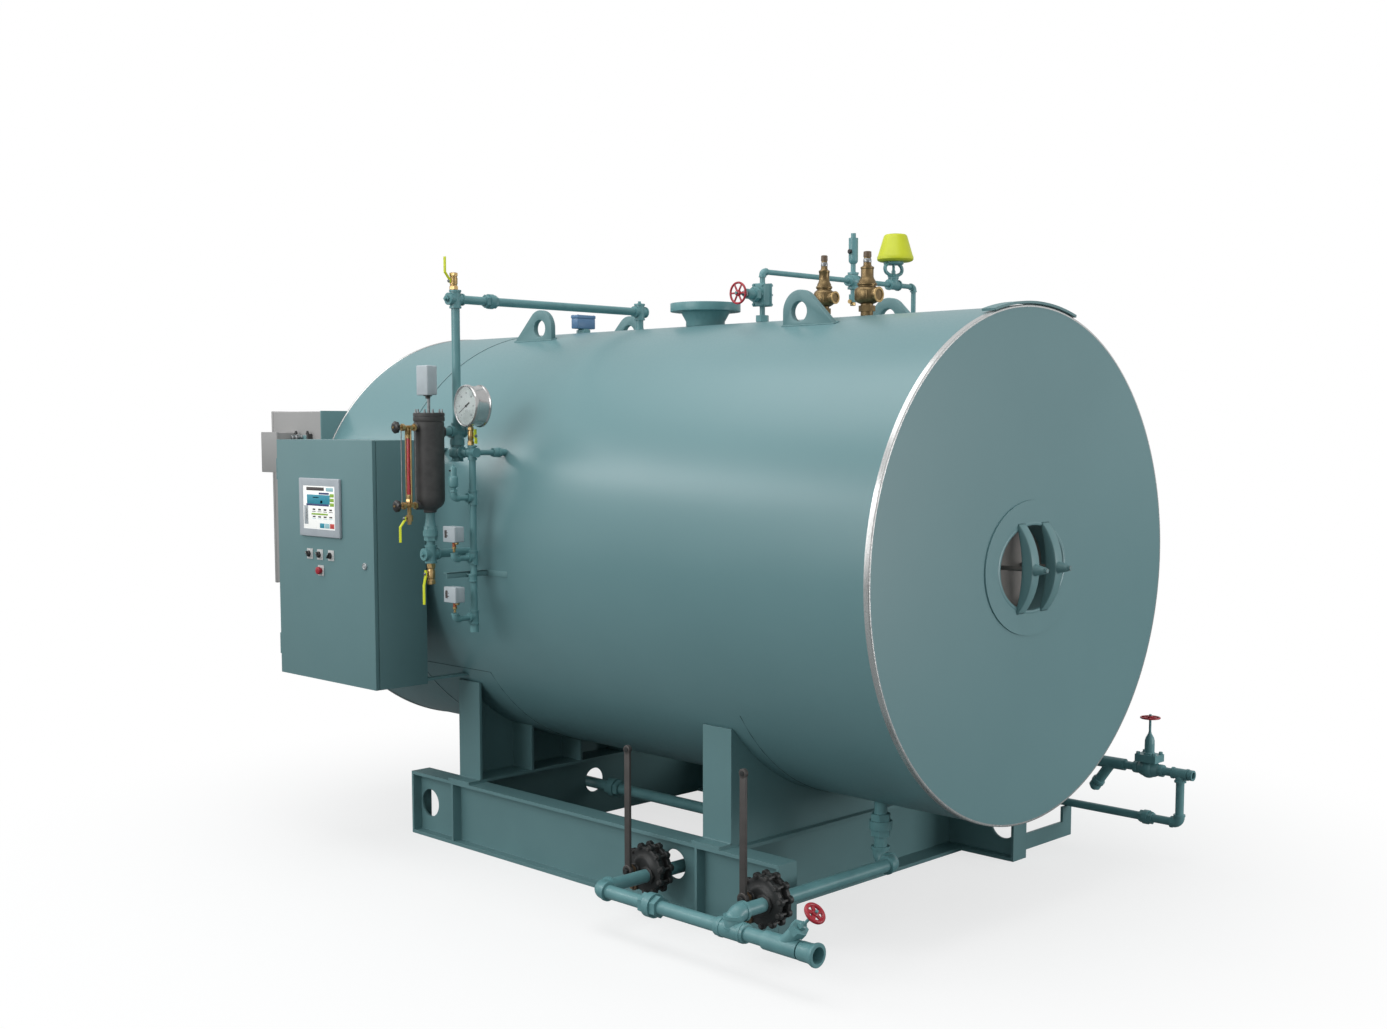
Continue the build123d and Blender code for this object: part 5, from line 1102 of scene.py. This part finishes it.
def add_world():
    """White backdrop, with a dimmer even light from all round."""
    world = bpy.data.worlds.new("studio")
    bpy.context.scene.world = world
    world.use_nodes = True
    tree = world.node_tree
    tree.nodes.clear()
    ambient = add_node(tree, "ShaderNodeBackground", {"Color": linear("#f2f6f7"), "Strength": 0.53})
    backdrop = add_node(tree, "ShaderNodeBackground", {"Color": linear("#ffffff"), "Strength": 1.0})
    mix = add_node(tree, "ShaderNodeMixShader", None,
                   {0: seen_rays(tree, 0.4).outputs[0], 1: ambient.outputs[0], 2: backdrop.outputs[0]})
    add_node(tree, "ShaderNodeOutputWorld", None, {"Surface": mix.outputs[0]})


def add_light(name, place, target, size, power):
    """Soft rectangular lamp that looks at a target."""
    data = bpy.data.lights.new(name, "AREA")
    data.shape = "RECTANGLE"
    data.size, data.size_y = size
    data.energy = power
    lamp = bpy.data.objects.new(name, data)
    bpy.context.scene.collection.objects.link(lamp)
    lamp.location = place
    lamp.rotation_euler = (Vector(target) - Vector(place)).to_track_quat("-Z", "Y").to_euler()


def add_floor():
    """Pale floor that keeps the shadow near the boiler and fades into the backdrop."""
    deselect()
    bpy.ops.mesh.primitive_grid_add(x_subdivisions=8, y_subdivisions=8, size=60)
    floor = bpy.context.object
    floor.name = "floor"
    material = bpy.data.materials.new("pale_floor")
    material.use_nodes = True
    tree = material.node_tree
    tree.nodes.clear()
    seen = seen_rays(tree, 0.0)
    place = add_node(tree, "ShaderNodeTexCoord")
    centred = add_node(tree, "ShaderNodeVectorMath", {"operation": "SUBTRACT", 1: (-0.8, 0.0, 0.0)},
                       {0: place.outputs["Object"]})
    reach = add_node(tree, "ShaderNodeVectorMath", {"operation": "LENGTH"}, {0: centred.outputs[0]})
    span = {"interpolation_type": "SMOOTHSTEP", "From Min": 1.4, "From Max": 3.4,
            "To Min": 0.7, "To Max": 1.0}
    fade = add_node(tree, "ShaderNodeMapRange", span, {"Value": reach.outputs["Value"]})
    share = add_node(tree, "ShaderNodeMath", {"operation": "MULTIPLY"},
                     {0: fade.outputs[0], 1: seen.outputs[0]})
    tone = add_node(tree, "ShaderNodeMix", {"data_type": "RGBA", 6: linear("#888d8e"), 7: linear("#f4f5f5")},
                    {0: seen.outputs[0]})
    matt = add_node(tree, "ShaderNodeBsdfDiffuse", None, {"Color": tone.outputs[2]})
    glow = add_node(tree, "ShaderNodeEmission", {"Color": linear("#ffffff"), "Strength": 1.0})
    mix = add_node(tree, "ShaderNodeMixShader", None,
                   {0: share.outputs[0], 1: matt.outputs[0], 2: glow.outputs[0]})
    add_node(tree, "ShaderNodeOutputMaterial", None, {"Surface": mix.outputs[0]})
    painted(floor, material)


# The pieces

softened("manway_yokes", 6, forging_enamel)
softened("lifting_lugs", 3, plate_enamel)
softened("steam_outlet", 4, pipe_enamel)
softened("control_cabinet", 3, powder_coat)
softened("cabinet_door", 3, powder_coat, "door")
softened("element_housing", 4, grey_powder_coat)
softened("junction_box", 3, grey_powder_coat)
shell_rings()
jacket_laps()
lug_welds()
manway_fittings()
safety_valve_pair()
actuator()
handwheel("feed_wheel", "feed_wheel_turn", near, 45, 6, 7, 4.5)
handwheel("train_wheel", "train_wheel_turn", up, 41, 6, 6, 3.6)
handwheel("drain_wheel", "drain_wheel_turn", slant, 38.5, 5, 14, 7)
feed_stop_valve()
breaker_fittings()
train_stop_valve()
steam_gasket()
probe_housing()
column_casting()
control_boxes()
transmitter()
steam_gauge()
glass_dress()
glass_knob("glass_wheel_upper", "glass_upper_turn")
glass_knob("glass_wheel_lower", "glass_lower_turn")
cock_bodies()
cock_lever("vent_lever", "vent_lever_swing", near, up, 92, 6, 22)
cock_lever("gauge_cock_lever", "gauge_lever_swing", rearward, down, 30, 26, 4)
cock_lever("glass_drain_lever", "glass_lever_swing", near, down, 91, 6, 22)
cock_lever("column_drain_lever", "column_lever_swing", near, down, 118, 15, 9)
manifold_fittings()
pipe_plugs()
operator_panel()
door_controls()
door_seal()
housing_trim()
blowdown_pair()
blowdown_lever("front_blowdown_lever", "front_lever_swing", 450)
blowdown_lever("rear_blowdown_lever", "rear_lever_swing", 425)
blowdown_couplings()
skid_welds()

# The studio round them

add_camera()
add_world()
add_light("overhead_softbox", (-0.8, -1.4, 6.0), (-0.8, -0.2, 1.0), (6.5, 3.2), 135)
add_light("front_softbox", (-1.6, -8.0, 3.6), (-0.8, 0, 1.2), (5.0, 3.0), 205)
add_light("manway_end_softbox", (6.5, 3.0, 1.4), (0.6, 0, 1.2), (3.0, 2.4), 158)
add_light("strip_lamp", (-6.6, -5.3, 5.2), (-0.8, 0, 1.3), (5.0, 1.0), 110)
add_floor()
bpy.context.scene.view_settings.view_transform = "Standard"
